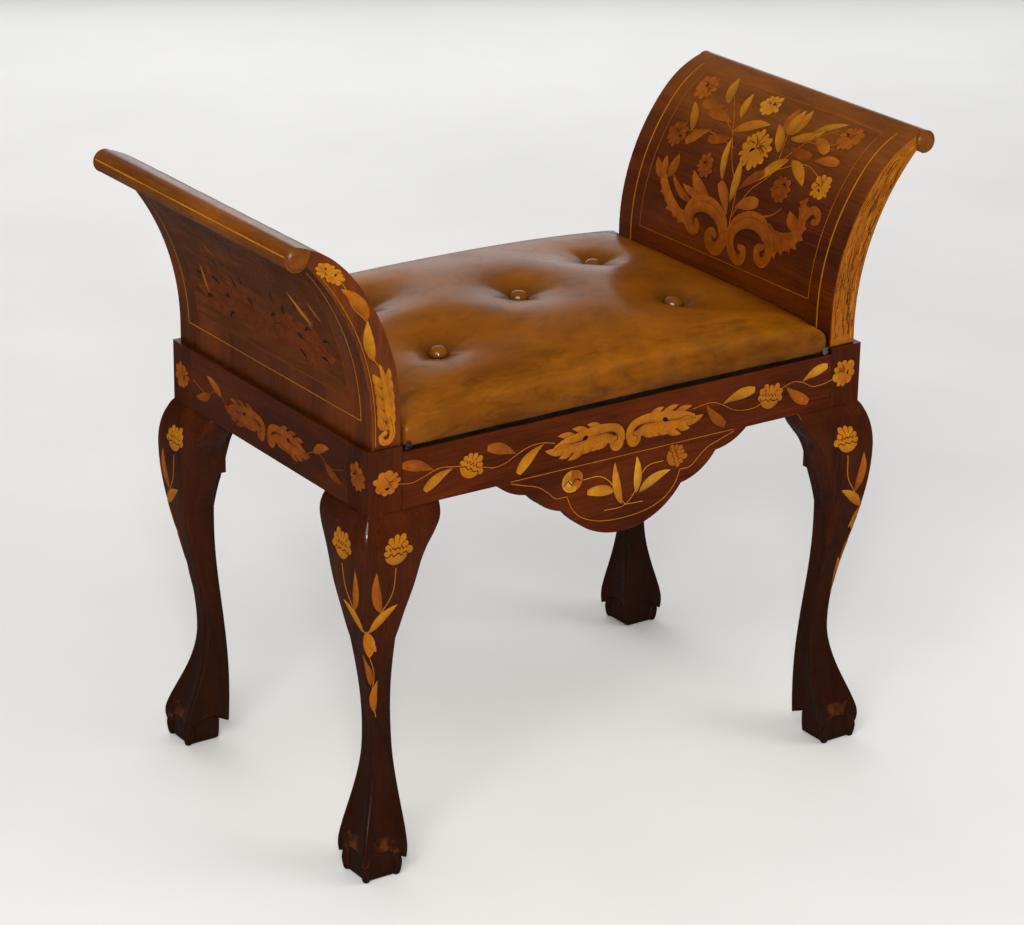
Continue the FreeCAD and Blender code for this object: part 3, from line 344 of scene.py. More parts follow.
# waxed tan hide: pebbled grain, patina, worn folds, painted highlight in the front fold, and painted shade
# round the tufts and down the side faces
def tanHide(name, waxed):
    material, tree, shader = newMaterial(name, waxed)
    coords = objectCoords(tree)
    pebble = put(tree, "TexVoronoi", {"Vector": coords, "Scale": 620.0, "Randomness": 1.0},
                 feature="DISTANCE_TO_EDGE")
    pebbleEdge = spread(tree, pebble.outputs[0], 0.0, 0.22)
    crease = noise(tree, coords, 130.0, 6.0, 0.7, 0.6)
    cloud = spread(tree, noise(tree, scaled(tree, coords, (0.7, 1, 1)), 9.0, 5.0, 0.6, 0.5), 0.36, 0.64)
    mottle = spread(tree, noise(tree, coords, 34.0, 6.0, 0.68, 0.8), 0.5, 0.72)
    hide = mixColour(tree, cloud, tint(112, 59, 1), tint(146, 82, 2))
    spotted = mixColour(tree, times(tree, mottle, 0.42), hide, tint(74, 35, 1))
    marks = ("wear", "paintedShade", "fold")
    wear, paintedShade, fold = (put(tree, "Attribute", attribute_name=mark).outputs["Fac"] for mark in marks)
    streaky = scaled(tree, coords, (0.36, 1, 1))
    dark = times(tree, spread(tree, noise(tree, streaky, 52.0, 6.0, 0.66, 0.7), 0.46, 0.66), fold)
    # painted highlight: golden streaks across the front fold and the side faces
    foldHighlight = times(tree, spread(tree, noise(tree, streaky, 44.0, 6.0, 0.66, 0.5), 0.53, 0.7), fold)
    folded = mixColour(tree, times(tree, dark, 0.66), spotted, tint(60, 27, 1))
    highlighted = mixColour(tree, times(tree, foldHighlight, 0.3), folded, tint(168, 95, 2))
    patchy = times(tree, wear, spread(tree, noise(tree, streaky, 52.0, 5.0, 0.6, 0.5), 0.4, 0.62))
    rubbed = mixColour(tree, times(tree, patchy, 0.34), highlighted, tint(182, 112, 10))
    # painted shade: the hide darkened round the buttons and towards the bottom of the side faces
    shaded = mixColour(tree, times(tree, paintedShade, 0.85), rubbed, tint(44, 20, 2))
    matt = plus(tree, spread(tree, cloud, 0.0, 1.0, 0.28, 0.34), times(tree, mottle, 0.08))
    layFinish(tree, shader, shaded, matt)
    relief = plus(tree, times(tree, pebbleEdge, 0.4), times(tree, crease, 0.6))
    bump(tree, shader, relief, 0.14, 0.0005)
    return material


seatGloss = {"Coat Weight": 0.28, "Coat Roughness": 0.2, "Specular IOR Level": 0.18}
buttonGloss = {"Coat Weight": 0.9, "Coat Roughness": 0.1, "Specular IOR Level": 0.4}
leatherHide = tanHide("tan hide", seatGloss)
buttonHide = tanHide("button hide", buttonGloss)
print("materials made")


# mesh helpers

def gridFaces(start, rows, columns, wrap=False):
    faces = []
    for row in range(rows - 1):
        for column in range(columns if wrap else columns - 1):
            after = (column + 1) % columns
            low, high = start + row * columns, start + (row + 1) * columns
            faces.append((low + column, low + after, high + after, high + column))
    return faces


def runOf(points):  # length along a line, at each of its points
    steps = np.diff(np.array(points, float), axis=0)
    return np.concatenate([[0], np.cumsum(np.linalg.norm(steps, axis=1))])


def smoothLine(points, count):  # a smooth line through the points
    line, knots = np.array(points, float), runOf(points)
    slopes = np.gradient(line, knots, axis=0)
    made = []
    for place in np.linspace(0, knots[-1], count + 1):
        n = min(int(np.searchsorted(knots, place, "right")) - 1, len(knots) - 2)
        span = knots[n + 1] - knots[n]
        t = (place - knots[n]) / span
        keep, go = (1 + 2 * t) * (1 - t) ** 2, t * t * (3 - 2 * t)
        swing = t * (1 - t) ** 2 * slopes[n] + t * t * (t - 1) * slopes[n + 1]
        made.append(keep * line[n] + go * line[n + 1] + span * swing)
    return made


def addTube(verts, faces, rings):  # closed rings one after another, capped at both ends
    start, count = len(verts), len(rings[0])
    for ring in rings:
        verts.extend(ring)
    faces.extend(gridFaces(start, len(rings), count, True))
    faces.append(tuple(range(start, start + count)))
    last = start + (len(rings) - 1) * count
    faces.append(tuple(range(last, last + count)))


def makePiece(name, verts, faces, material, slot, body="frame", sharp=40.0, closed=True):
    mesh = bpy.data.meshes.new(name)
    mesh.from_pydata([tuple(mm * float(part) for part in vert) for vert in verts], [], faces)
    if closed:
        shell = bmesh.new()
        shell.from_mesh(mesh)
        bmesh.ops.recalc_face_normals(shell, faces=shell.faces)
        shell.to_mesh(mesh)
        shell.free()
    mesh.polygons.foreach_set("use_smooth", [True] * len(mesh.polygons))
    mesh.set_sharp_from_angle(angle=math.radians(sharp))
    mesh.materials.append(material)
    piece = bpy.data.objects.new(name, mesh)
    bpy.context.scene.collection.objects.link(piece)
    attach(piece, body)
    return piece


def tubePiece(name, rings, *looks, **more):
    verts, faces = [], []
    addTube(verts, faces, rings)
    return makePiece(name, verts, faces, *looks, **more)


def mark(piece, name, values):  # a number at every point, for the material
    data = piece.data.attributes.new(name, "FLOAT", "POINT").data
    data.foreach_set("value", np.array(values, np.float32))


# frame nodes that keep their own shape: eased arrises and a finish
def dress(names, material, ease=0.0):
    for name in names:
        piece = nodes[name]
        piece.data.materials.clear()
        piece.data.materials.append(material)
        if ease:
            weld = piece.modifiers.new("weld", "WELD")
            weld.merge_threshold = 0.00001
            rounding = piece.modifiers.new("eased", "BEVEL")
            rounding.width = ease * mm
            rounding.segments = 2
            rounding.limit_method = "ANGLE"
            rounding.angle_limit = math.radians(32)
            piece.modifiers.new("level", "WEIGHTED_NORMAL").keep_sharp = True


cleats = ["cleat_" + word for word, sign in endSigns + sideSigns]
dress(["front_rail", "back_rail", "front_apron", "back_apron"], railMahogany, 0.7)
dress(["left_rail", "right_rail"], sideMahogany, 0.7)
dress(["left_end_panel"], leftVeneer, 0.8)
dress(["right_end_panel"], rightVeneer, 0.8)
dress(["bottom_board", "seat_board", "end_panel_dowels"] + cleats, innerBeech, 0.3)
dress(["lid_board"], lidBlack, 0.4)
dress([name for name in nodes if name.startswith("hinge_") and "screws" not in name], hingeBrass)
dress([name for name in nodes if name.endswith("_screws")], screwSteel)
print("frame nodes dressed")


# cabriole legs: one rounded-square section carried down the knee, shin and paw
legShape = dict(kneeProud=13.5, kneeHeight=315, shoulderRun=7, shoulderDrop=6, ankleSetback=11.5,
                ankleHeight=124, pawProud=13.4, pawHeight=21, curlTop=34, curlIn=1.8, heelDepth=36.5,
                heelHeight=65, spurDepth=35.5, shinDepth=28, shinHeight=232, ledgeHeight=288, ridge=5.0,
                footRidge=2.6, arris=0.8, hollow=4.2, hollowTop=112, archTop=56, clawRoot=17, archRise=10,
                blockProud=8.5, blockDepth=28.5, blockEase=2.2, clawProud=7.6, clawDepth=26.5, clawTop=40,
                ridgeRun=8, kneeRings=26, shinRings=84, pawRings=14, lipIn=0.3, lipUp=1.5)
arcSteps, sideSteps = 6, 12


def bezier(*poles):
    share = np.linspace(0, 1, 40)[:, None]
    points, top = np.array(poles, float), len(poles) - 1
    parts = [math.comb(top, k) * (1 - share) ** (top - k) * share ** k for k in range(top + 1)]
    return sum(part * pole for part, pole in zip(parts, points))


def legProfiles():
    s = legShape
    knee, ankle, paw = -s["kneeProud"], s["ankleSetback"], -s["pawProud"]
    full, waist, foot = s["kneeHeight"], s["ankleHeight"], s["pawHeight"]
    fall, instep, behind = full - waist, waist - foot, s["shinHeight"] - s["heelHeight"]
    front = [bezier((0, railLow), (-s["shoulderRun"], railLow - s["shoulderDrop"]),
                    (knee, full + (railLow - full) * 0.5), (knee, full)),
             bezier((knee, full), (knee, full - fall * 0.37), (ankle, waist + fall * 0.37), (ankle, waist)),
             bezier((ankle, waist), (ankle, waist - instep * 0.44), (paw, foot + instep * 0.23),
                    (paw, foot))]
    heel, heelZ = s["heelDepth"], s["heelHeight"]
    shin, shinZ, ledge = s["shinDepth"], s["shinHeight"], s["ledgeHeight"]
    back = [bezier((s["spurDepth"], foot), (heel, (foot + heelZ) / 2), (heel, heelZ)),
            bezier((heel, heelZ), (heel, heelZ + behind * 0.39), (shin, shinZ - behind * 0.36),
                   (shin, shinZ)),
            bezier((shin, shinZ), (shin, (shinZ + ledge) / 2), (shin, ledge), (postSize, ledge))]
    return np.vstack(front)[::-1], np.vstack(back)


frontLine, backLine = legProfiles()


def outerFace(z):  # distance behind the post's outer faces
    under = max(0.0, (legShape["curlTop"] - z) / (legShape["curlTop"] - legShape["clawRoot"]))
    proud = float(np.interp(z, frontLine[:, 1], frontLine[:, 0])) if z < railLow else 0.0
    return proud + legShape["curlIn"] * min(1.0, under) ** 2


def innerFace(z):
    return float(np.interp(z, backLine[:, 1], backLine[:, 0])) if z < legShape["ledgeHeight"] else postSize


def ridgeAt(z, outermost):
    s = legShape
    if z > railLow or (z > s["ledgeHeight"] and not outermost):
        return s["arris"]
    near = min(1.0, max(0.0, (railLow - z) / s["ridgeRun"])) if outermost else 1.0
    foot = min(1.0, max(0.0, (s["hollowTop"] - z) / (s["hollowTop"] - s["pawHeight"])))
    return (s["arris"] + (s["ridge"] - s["arris"]) * near) * (1 - foot) + s["footRidge"] * foot


def hollowAt(z):
    rise = min(1.0, max(0.0, (legShape["hollowTop"] - z) / (legShape["hollowTop"] - legShape["pawHeight"])))
    return legShape["hollow"] * rise * rise * (3 - 2 * rise)


# corners in the order outer ridge, end of the front face, inner ridge, end of the side face
cornerKinds = ((0, 0, 180), (1, 0, 270), (1, 1, 0), (0, 1, 90))


def cornerPoint(number, share, z):
    farP, farQ, start = cornerKinds[number]
    radius = ridgeAt(z, number == 0)
    near, far = outerFace(z), innerFace(z)
    p = far - radius if farP else near + radius
    q = far - radius if farQ else near + radius
    turn = math.radians(start + 90 * share)
    return p + radius * math.cos(turn), q + radius * math.sin(turn)


inwards = ((0, 1), (-1, 0), (0, -1), (1, 0))


def ringStops():  # every point of a ring as (corner, share of its arc, share of the side after it)
    stops = []
    for number in range(4):
        stops += [(number, step / arcSteps, 0.0) for step in range(arcSteps + 1)]
        stops += [(number, 1.0, step / sideSteps) for step in range(1, sideSteps)]
    return stops


ringOrder = ringStops()


def legRing(heights):  # a ring in distances behind the two outer faces, with a height for every point
    ring = []
    for (number, share, along), z in zip(ringOrder, heights):
        p, q = cornerPoint(number, share, z)
        if along:
            nextP, nextQ = cornerPoint((number + 1) % 4, 0.0, z)
            push = hollowAt(z) * (4 * along * (1 - along)) ** 0.8
            p = p + (nextP - p) * along + inwards[number][0] * push
            q = q + (nextQ - q) * along + inwards[number][1] * push
        ring.append((p, q, z))
    return ring


# height of the paw's lower edge: claws hang at three corners, arches rise between
def pawEdge(number, along):
    roots = [legShape["clawRoot"], legShape["clawRoot"], legShape["pawHeight"], legShape["clawRoot"]]
    low = roots[number] + (roots[(number + 1) % 4] - roots[number]) * along
    return low + legShape["archRise"] * (4 * along * (1 - along)) ** 0.7


def roundRing(p, q, radius, z, count=14):
    turns = [2 * math.pi * step / count for step in range(count)]
    return [(p + radius * math.cos(turn), q + radius * math.sin(turn), z) for turn in turns]


def blockRing(inset, z):
    low, high = -legShape["blockProud"] + inset, legShape["blockDepth"] - inset
    ease = legShape["blockEase"]
    plan = [(low + ease, low), (high - ease, low), (high, low + ease), (high, high - ease),
            (high - ease, high), (low + ease, high), (low, high - ease), (low, low + ease)]
    return [(p, q, z) for p, q in plan]


def legShell():
    s = legShape
    rings = [postTop - 0.01, postTop - 0.8, (postTop + railLow) / 2, railLow + 0.05]
    rings += list(np.linspace(railLow - 0.05, s["ledgeHeight"] + 0.1, s["kneeRings"]))
    rings += list(np.linspace(s["ledgeHeight"] - 0.05, s["archTop"], s["shinRings"]))
    shell = [legRing([z] * len(ringOrder)) for z in rings]
    edge = [pawEdge(number, along) for number, share, along in ringOrder]
    for share in np.arange(1, s["pawRings"] + 1) / s["pawRings"]:
        shell.append(legRing([s["archTop"] + (low - s["archTop"]) * share for low in edge]))
    middle = (s["blockDepth"] - s["blockProud"]) / 2
    lip = [(p + (middle - p) * s["lipIn"], q + (middle - q) * s["lipIn"], z + s["lipUp"])
           for p, q, z in shell[-1]]
    verts, faces = [], []
    addTube(verts, faces, shell + [lip])
    block = ((2, s["clawTop"]), (0, 20), (0.3, 9), (0.8, 1.6), (2.4, 0))
    addTube(verts, faces, [blockRing(inset, z) for inset, z in block])
    claw = ((s["clawTop"], 4, 1), (26, 1.5, 3.2), (18, 0.2, 4.2), (12, -0.2, 4.4), (6, 0.1, 4),
            (1.4, 0.5, 3.4), (0, 0.8, 2.4))
    near, far = -s["clawProud"], s["clawDepth"]
    for p, q in ((near, near), (far, near), (near, far)):
        out = (math.copysign(1, p - middle), math.copysign(1, q - middle))
        addTube(verts, faces, [roundRing(p - out[0] * inset, q - out[1] * inset, radius, z)
                               for z, inset, radius in claw])
    return verts, faces


def makeLegs():
    shell, faces = legShell()
    for end, endSign, side, sideSign in legCorners:
        verts = [(sideSign * (postX - p), endSign * (postY - q), z) for p, q, z in shell]
        name = "carved_leg_%s_%s" % (end, side)
        leg = makePiece(name, verts, faces, legMahogany, "leg_mahogany", sharp=38)
        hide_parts("leg_%s_%s" % (end, side))


makeLegs()

# knee ears: their faces go on from the knees, and a hollow sweep runs down to a small ledge
earShape = dict(depth=24, buried=20, arris=1.1)
earSweep = ((railLow - 0.02, 39), (350, 36), (337, 27), (327, 19), (316, 13), (304, 9), (292, 5.5),
            (280, 1.5), (268, -2.5), (256, -5.6), (246, -8), (236, -11), (226, -15))


def earRing(z, reach):  # distances past the post's inner face and behind its outer face
    s = earShape
    face, soft = outerFace(z) - 0.04, s["arris"]
    return [(-s["buried"], face), (reach - soft, face), (reach - soft * 0.3, face + soft * 0.3),
            (reach, face + soft), (reach, s["depth"] - soft), (reach - soft, s["depth"]),
            (-s["buried"], s["depth"])]


def makeEars():
    reaches = smoothLine(earSweep, 59)
    for end, endSign, side, sideSign in legCorners:
        for way in (end, "side"):
            rings = []
            for z, reach in reaches:
                ring = [(postSize + r, d) if way == end else (d, postSize + r) for r, d in earRing(z, reach)]
                rings.append([(sideSign * (postX - p), endSign * (postY - q), z) for p, q in ring])
            name = "%s_%s_%s" % (end, side, way)
            ear = tubePiece("carved_ear_" + name, rings, legMahogany, "leg_mahogany", sharp=50)
            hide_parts("ear_" + name)


makeEars()
print("legs and ears carved")

# end panels in section: a straight foot, then arcs that scroll outward; millimetres for the right-hand one
armShape = dict(inner=244.5, innerFoot=27, innerArc=218, innerTurn=40, lipArc=102, lipTurn=75,
                outer=274, outerFoot=17, outerArc=240, outerTurn=43.5, rollX=349.9, rollZ=610.9, roll=11,
                crestStart=47, skin=0.3, skinRun=7, skinFoot=0.04, swellStart=60, lipRoll=10.8, rollEnd=-128,
                stringTurn=19)


def innerTurned(turn):  # point of the inner face where it leans by this many degrees
    s, lean = armShape, math.radians(turn)
    bend = math.radians(s["innerTurn"])
    if turn <= s["innerTurn"]:
        return (s["inner"] + s["innerArc"] * (1 - math.cos(lean)),
                postTop + s["innerFoot"] + s["innerArc"] * math.sin(lean))
    x, z = innerTurned(s["innerTurn"])
    return (x + s["lipArc"] * (math.cos(bend) - math.cos(lean)),
            z + s["lipArc"] * (math.sin(lean) - math.sin(bend)))


def innerProfile(t):  # point and lean at a length along the inner face, up from the rail
    s = armShape
    if t <= s["innerFoot"]:
        return (s["inner"], postTop + t), 0.0
    t -= s["innerFoot"]
    whole = s["innerArc"] * math.radians(s["innerTurn"])
    turn = math.degrees(t / s["innerArc"])
    if t > whole:
        turn = s["innerTurn"] + math.degrees((t - whole) / s["lipArc"])
    return innerTurned(turn), turn


def outerProfile(t):
    s = armShape
    if t <= s["outerFoot"]:
        return (s["outer"], postTop + t), 0.0
    lean = (t - s["outerFoot"]) / s["outerArc"]
    return (s["outer"] + s["outerArc"] * (1 - math.cos(lean)),
            postTop + s["outerFoot"] + s["outerArc"] * math.sin(lean)), math.degrees(lean)


def crestSection():
    s = armShape
    line = []
    for turn in np.linspace(s["crestStart"], s["lipTurn"], 14):
        x, z = innerTurned(turn)
        lean = math.radians(turn)
        start = min(1.0, (turn - s["crestStart"]) / s["skinRun"])
        swell = max(0.0, (turn - s["swellStart"]) / (s["lipTurn"] - s["swellStart"]))
        grow = s["skin"] * start - s["skinFoot"] + (s["roll"] - s["lipRoll"]) * swell
        line.append((x - grow * math.cos(lean), z + grow * math.sin(lean)))
    for turn in np.linspace(180 - s["lipTurn"] - 8, s["rollEnd"], 30):
        line.append((s["rollX"] + s["roll"] * math.cos(math.radians(turn)),
                     s["rollZ"] + s["roll"] * math.sin(math.radians(turn))))
    x, z = innerTurned(s["crestStart"])
    return line + [(s["rollX"] - 12, s["rollZ"] - 6), (x + 4, z - 3)]  # closed inside the panel


def makeCrests():
    section = crestSection()
    reach = edgeY - 0.02
    stations = [-reach, -reach + 0.8] + list(np.linspace(-0.9, 0.9, 9) * reach) + [reach - 0.8, reach]
    for side, sign in sideSigns:
        rings = [[(sign * x, y, z) for x, z in section] for y in stations]
        crest = tubePiece("scrolled_crest_" + side, rings, crestMahogany, "crest_mahogany", sharp=35)
        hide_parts(side + "_crest_roll")


makeCrests()

# turned buttons on the ends of the crests: a shallow dome inside a fine bead
roundelLine = ((11.2, 0.1), (11.3, 1.0), (10.8, 1.7), (10.0, 1.5), (9.6, 1.9), (8.6, 2.8), (6.4, 3.7),
               (3.4, 4.3), (0.3, 4.5))


def makeRoundels():
    x, z = armShape["rollX"], armShape["rollZ"]
    turns = np.linspace(0, 2 * math.pi, 41)[:-1]
    for side, sideSign in sideSigns:
        for end, endSign in endSigns:
            rings = []
            for radius, out in roundelLine:
                rings.append([(sideSign * (x + radius * math.cos(turn)), endSign * (edgeY + out),
                               z + radius * math.sin(turn)) for turn in turns])
            name = "roundel_%s_%s" % (end, side)
            roundel = tubePiece("turned_" + name, rings, crestMahogany, "crest_mahogany", sharp=45)
            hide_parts(name)


makeRoundels()
print("crests and roundels made")

# buttoned seat: crowned pad that is blown up by a cloth simulation, held by its edge and its buttons
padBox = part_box("leather_cover")
padShape = dict(halfX=padBox[1].x / mm, halfY=padBox[1].y / mm, bottom=padBox[0].z / mm, crown=57,
                crownEnd=24, side=31, sideEnd=20, backRise=7, fall=2.5, rollIn=4.5, endRoll=4, tuck=0.4,
                waist=1, cornerEase=1.6, cornerReach=16, lap=4.2, cell=4.6, rows=8, slack=2.5,
                pressure=4.0, frames=20, cap=9.0, tuftDepth=14, tuftReach=44, tuftFlat=0.8, tuftWide=0.42,
                tuftFall=1.3, buttonRadius=9.2, buttonRun=137, buttonSpread=68, stiffCells=3, boardTop=16,
                evenings=10)
buttonPlaces = [(0, 0)]
buttonPlaces += [(x * padShape["buttonRun"], y * padShape["buttonSpread"]) for x in (-1, 1) for y in (-1, 1)]


def toButton(x, y):  # distance to the nearest button
    return min(math.hypot(x - bx, y - by) for bx, by in buttonPlaces)


def crownAt(x, y):
    s = padShape
    away = min(1.0, abs(x / s["halfX"])) ** s["fall"]
    side = s["side"] + (s["sideEnd"] - s["side"]) * away
    top = s["crown"] + (s["crownEnd"] - s["crown"]) * away
    half = s["halfY"] - s["waist"] * (1 - (x / s["halfX"]) ** 2) - s["rollIn"]
    rise = top - side
    radius = (half ** 2 + rise ** 2) / (2 * rise)
    arch = math.sqrt(max(0.0, radius ** 2 - min(abs(y), half) ** 2))
    return s["bottom"] + top - radius + arch + s["backRise"] * max(0.0, y / s["halfY"]) ** 2


def tuftDrop(x, y):
    s = padShape
    away = max(0.0, toButton(x, y) - s["buttonRadius"] * s["tuftFlat"])
    return s["tuftDepth"] * math.exp(-(away / (s["tuftReach"] * s["tuftWide"])) ** s["tuftFall"])


def padPoint(across, along, up):  # shares: across and along from -1 to 1, up from 0 to 1
    s = padShape
    bulge = s["tuck"] * (1 - 2 * up) ** 2 if up < 0.5 else s["rollIn"] * (2 * up - 1) ** 2
    endIn = s["endRoll"] * max(0.0, 2 * up - 1) ** 2
    x = across * (s["halfX"] - endIn)
    half = s["halfY"] - s["waist"] * (1 - across ** 2) - bulge
    y = along * half
    reach = s["cornerReach"]
    cornerX, cornerY = max(0.0, abs(x) - s["halfX"] + reach), max(0.0, abs(y) - s["halfY"] + reach)
    pinch = s["cornerEase"] * (cornerX / reach) * (cornerY / reach)
    x -= math.copysign(pinch * 0.5, x)
    y -= math.copysign(pinch * 0.5, y)
    top = crownAt(x, y) - (tuftDrop(x, y) if up > 0.99 else 0.0)
    low = s["bottom"] - s["lap"]
    return x, y, low + up * (top - low)


def padGrid():  # the skin of a block of cells, each point keyed by its three steps
    s = padShape
    nx, ny, nz = round(2 * s["halfX"] / s["cell"]), round(2 * s["halfY"] / s["cell"]), s["rows"]
    index, points = {}, []

    def at(i, j, k):
        if (i, j, k) not in index:
            index[i, j, k] = len(points)
            points.append((i, j, k))
        return index[i, j, k]

    faces = []
    for k in (0, nz):
        faces += [(at(i, j, k), at(i + 1, j, k), at(i + 1, j + 1, k), at(i, j + 1, k))
                  for i in range(nx) for j in range(ny)]
    for j in (0, ny):
        faces += [(at(i, j, k), at(i + 1, j, k), at(i + 1, j, k + 1), at(i, j, k + 1))
                  for i in range(nx) for k in range(nz)]
    for i in (0, nx):
        faces += [(at(i, j, k), at(i, j + 1, k), at(i, j + 1, k + 1), at(i, j, k + 1))
                  for j in range(ny) for k in range(nz)]
    return points, faces, (nx, ny, nz)


clothShape = {"quality": 5, "mass": 0.4, "tension_stiffness": 20, "compression_stiffness": 20,
              "bending_stiffness": 2.0, "use_pressure": True, "vertex_group_mass": "held",
              "uniform_pressure_force": padShape["pressure"]}


def blowUp(pad, pinned):  # cloth simulation with inner pressure, held at the pinned points
    s = padShape
    hold = pad.vertex_groups.new(name="held")
    hold.add(pinned, 1.0, "REPLACE")
    cloth = pad.modifiers.new("blown", "CLOTH")
    for key, value in clothShape.items():
        setattr(cloth.settings, key, value)
    cloth.settings.effector_weights.gravity = 0.0
    cloth.point_cache.frame_start, cloth.point_cache.frame_end = 1, s["frames"]
    for number in range(1, s["frames"] + 1):
        bpy.context.scene.frame_set(number)
    grown = pad.evaluated_get(bpy.context.evaluated_depsgraph_get()).to_mesh()
    after = np.array([vert.co for vert in grown.vertices])
    before = np.array([vert.co for vert in pad.data.vertices])
    step = after - before
    length = np.linalg.norm(step, axis=1, keepdims=True)
    limit = s["cap"] * mm
    moved = before + step * np.minimum(1.0, limit / np.maximum(length, 1e-9))
    pad.modifiers.remove(cloth)
    pad.data.vertices.foreach_set("co", moved.astype(np.float32).ravel())
    bpy.context.scene.frame_set(1)
    print("seat blown up, furthest move %.1f mm" % (length.max() / mm))


def makeSeat():
    s = padShape
    steps, faces, (nx, ny, nz) = padGrid()
    verts = [padPoint(2 * i / nx - 1, 2 * j / ny - 1, k / nz) for i, j, k in steps]
    lowered = [(x, y, z - s["slack"] * (z - s["bottom"]) / s["crown"]) for x, y, z in verts]
    pad = makePiece("seat_leather", lowered, faces, leatherHide, "tan_leather", "lid", sharp=180)
    held = []
    for number, (i, j, k) in enumerate(steps):
        x, y, z = lowered[number]
        tufted = k == nz and toButton(x, y) < s["buttonRadius"]
        corner = max(min(i, nx - i), min(j, ny - j)) <= s["stiffCells"] and z < s["bottom"] + s["boardTop"]
        if k <= 1 or tufted or corner:
            held.append(number)
    blowUp(pad, held)
    finishHide(pad, steps, (nx, ny, nz))
    smooth = pad.modifiers.new("smooth", "SUBSURF")
    smooth.levels = smooth.render_levels = 1
    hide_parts("leather_cover", "seat_stuffing")


# what use has done to the hide: pleats, worn places and the rolled front fold; also painted shade round the
# buttons and down the side faces
hideShape = dict(pleat=0.35, pleats=7, pleatAt=19, pleatSpan=13, tuftShade=21, edgeWear=13, endWear=6,
                 rimWear=1.6, cornerWear=7, foldReach=46, sideShade=0.34, leastShade=0.06, foldRows=9,
                 foldFade=4, foldRun=80, foldOut=0.5, foldUp=1.1, hollow=2.6, hollowRow=4.5,
                 hollowSpan=1.8, stretched=1.6)


def evenTop(points, top, nx, ny):  # take the small wrinkles out of the top
    loose = []
    for i, j in top:
        x, y, z = points[top[i, j]]
        free = toButton(x, y) > padShape["buttonRadius"] * hideShape["stretched"]
        if free and min(i, nx - i, j, ny - j) > 1:
            loose.append((i, j))
    for turn in range(padShape["evenings"]):
        level = [sum(points[top[i + a, j + b]][2] for a, b in ((1, 0), (-1, 0), (0, 1), (0, -1))) / 4
                 for i, j in loose]
        for place, height in zip(loose, level):
            points[top[place]][2] = height


def finishHide(pad, steps, counts):
    s, h = padShape, hideShape
    nx, ny, nz = counts
    points = np.array([vert.co for vert in pad.data.vertices]) / mm
    wear, paintedShade, fold = np.zeros((3, len(points)))
    evenTop(points, {(i, j): number for number, (i, j, k) in enumerate(steps) if k == nz}, nx, ny)
    for number, (i, j, k) in enumerate(steps):
        x, y, z = points[number]
        fromEdge, fromEnd = min(j, ny - j) * s["cell"], min(i, nx - i) * s["cell"]
        if k == nz:
            for bx, by in buttonPlaces:
                away, turn = math.hypot(x - bx, y - by), math.atan2(y - by, x - bx)
                ring = math.exp(-((away - h["pleatAt"]) / h["pleatSpan"]) ** 2)
                points[number][2] += h["pleat"] * ring * math.cos(h["pleats"] * turn + bx + 2 * by)
                # painted shade in the dimple round each button
                paintedShade[number] = max(paintedShade[number], math.exp(-(away / h["tuftShade"]) ** 2))
            rubbed = math.exp(-(fromEdge / h["edgeWear"]) ** 2)
            wear[number] = max(rubbed, 0.7 * math.exp(-(fromEnd / h["endWear"]) ** 2))
            fold[number] = math.exp(-(j * s["cell"] / h["foldReach"]) ** 2)
        else:
            rubbed = 0.9 * math.exp(-((nz - k) / h["rimWear"]) ** 2)
            wear[number] = max(rubbed, math.exp(-(max(fromEnd, fromEdge) / h["cornerWear"]) ** 2))
            fold[number] = 0.9
            # painted shade: side faces darker towards the bottom
            paintedShade[number] = h["leastShade"] + h["sideShade"] * (1 - k / nz)
        if j < h["foldRows"] and 1 < k:
            near = math.exp(-(j / h["foldFade"]) ** 2) * (k - 1) / (nz - 1)
            near *= math.sin(min(1.0, fromEnd / h["foldRun"]) * math.pi / 2) ** 2
            wave = math.sin(x / 31 + 0.6) + 0.6 * math.sin(x / 13 + 2)
            points[number][1] += h["foldOut"] * near * wave
            points[number][2] += h["foldUp"] * near * wave
            if j == 0:  # the hollow below the fold
                deep = math.exp(-((k - h["hollowRow"]) / h["hollowSpan"]) ** 2)
                points[number][1] += h["hollow"] * near * deep * (0.6 + 0.4 * wave)
    pad.data.vertices.foreach_set("co", (points * mm).astype(np.float32).ravel())
    for name, values in (("wear", wear), ("paintedShade", paintedShade), ("fold", fold)):
        mark(pad, name, values)


makeSeat()

# covered buttons: domed, drawn in to a rolled rim
buttonLine = ((0.2, 6.6), (3, 6.3), (5.4, 5.4), (7.4, 3.8), (8.7, 1.8), (9.2, 0.2), (8.8, -1.2),
              (7.4, -1.8), (3, -2))
buttonShape = dict(steps=36, lift=0.6, pleat=0.16, pleatAt=8, pleats=12, wobble=0.02, wobbles=9, tuftShade=0.5,
                   leastShade=0.1)


def buttonFrame(x, y):
    step = padShape["buttonRadius"]
    lean = Vector(((crownAt(x - step, y) - crownAt(x + step, y)) / (2 * step),
                   (crownAt(x, y - step) - crownAt(x, y + step)) / (2 * step), 1)).normalized()
    return Vector((x, y, crownAt(x, y))), Vector((0, 0, 1)).rotation_difference(lean).to_matrix()


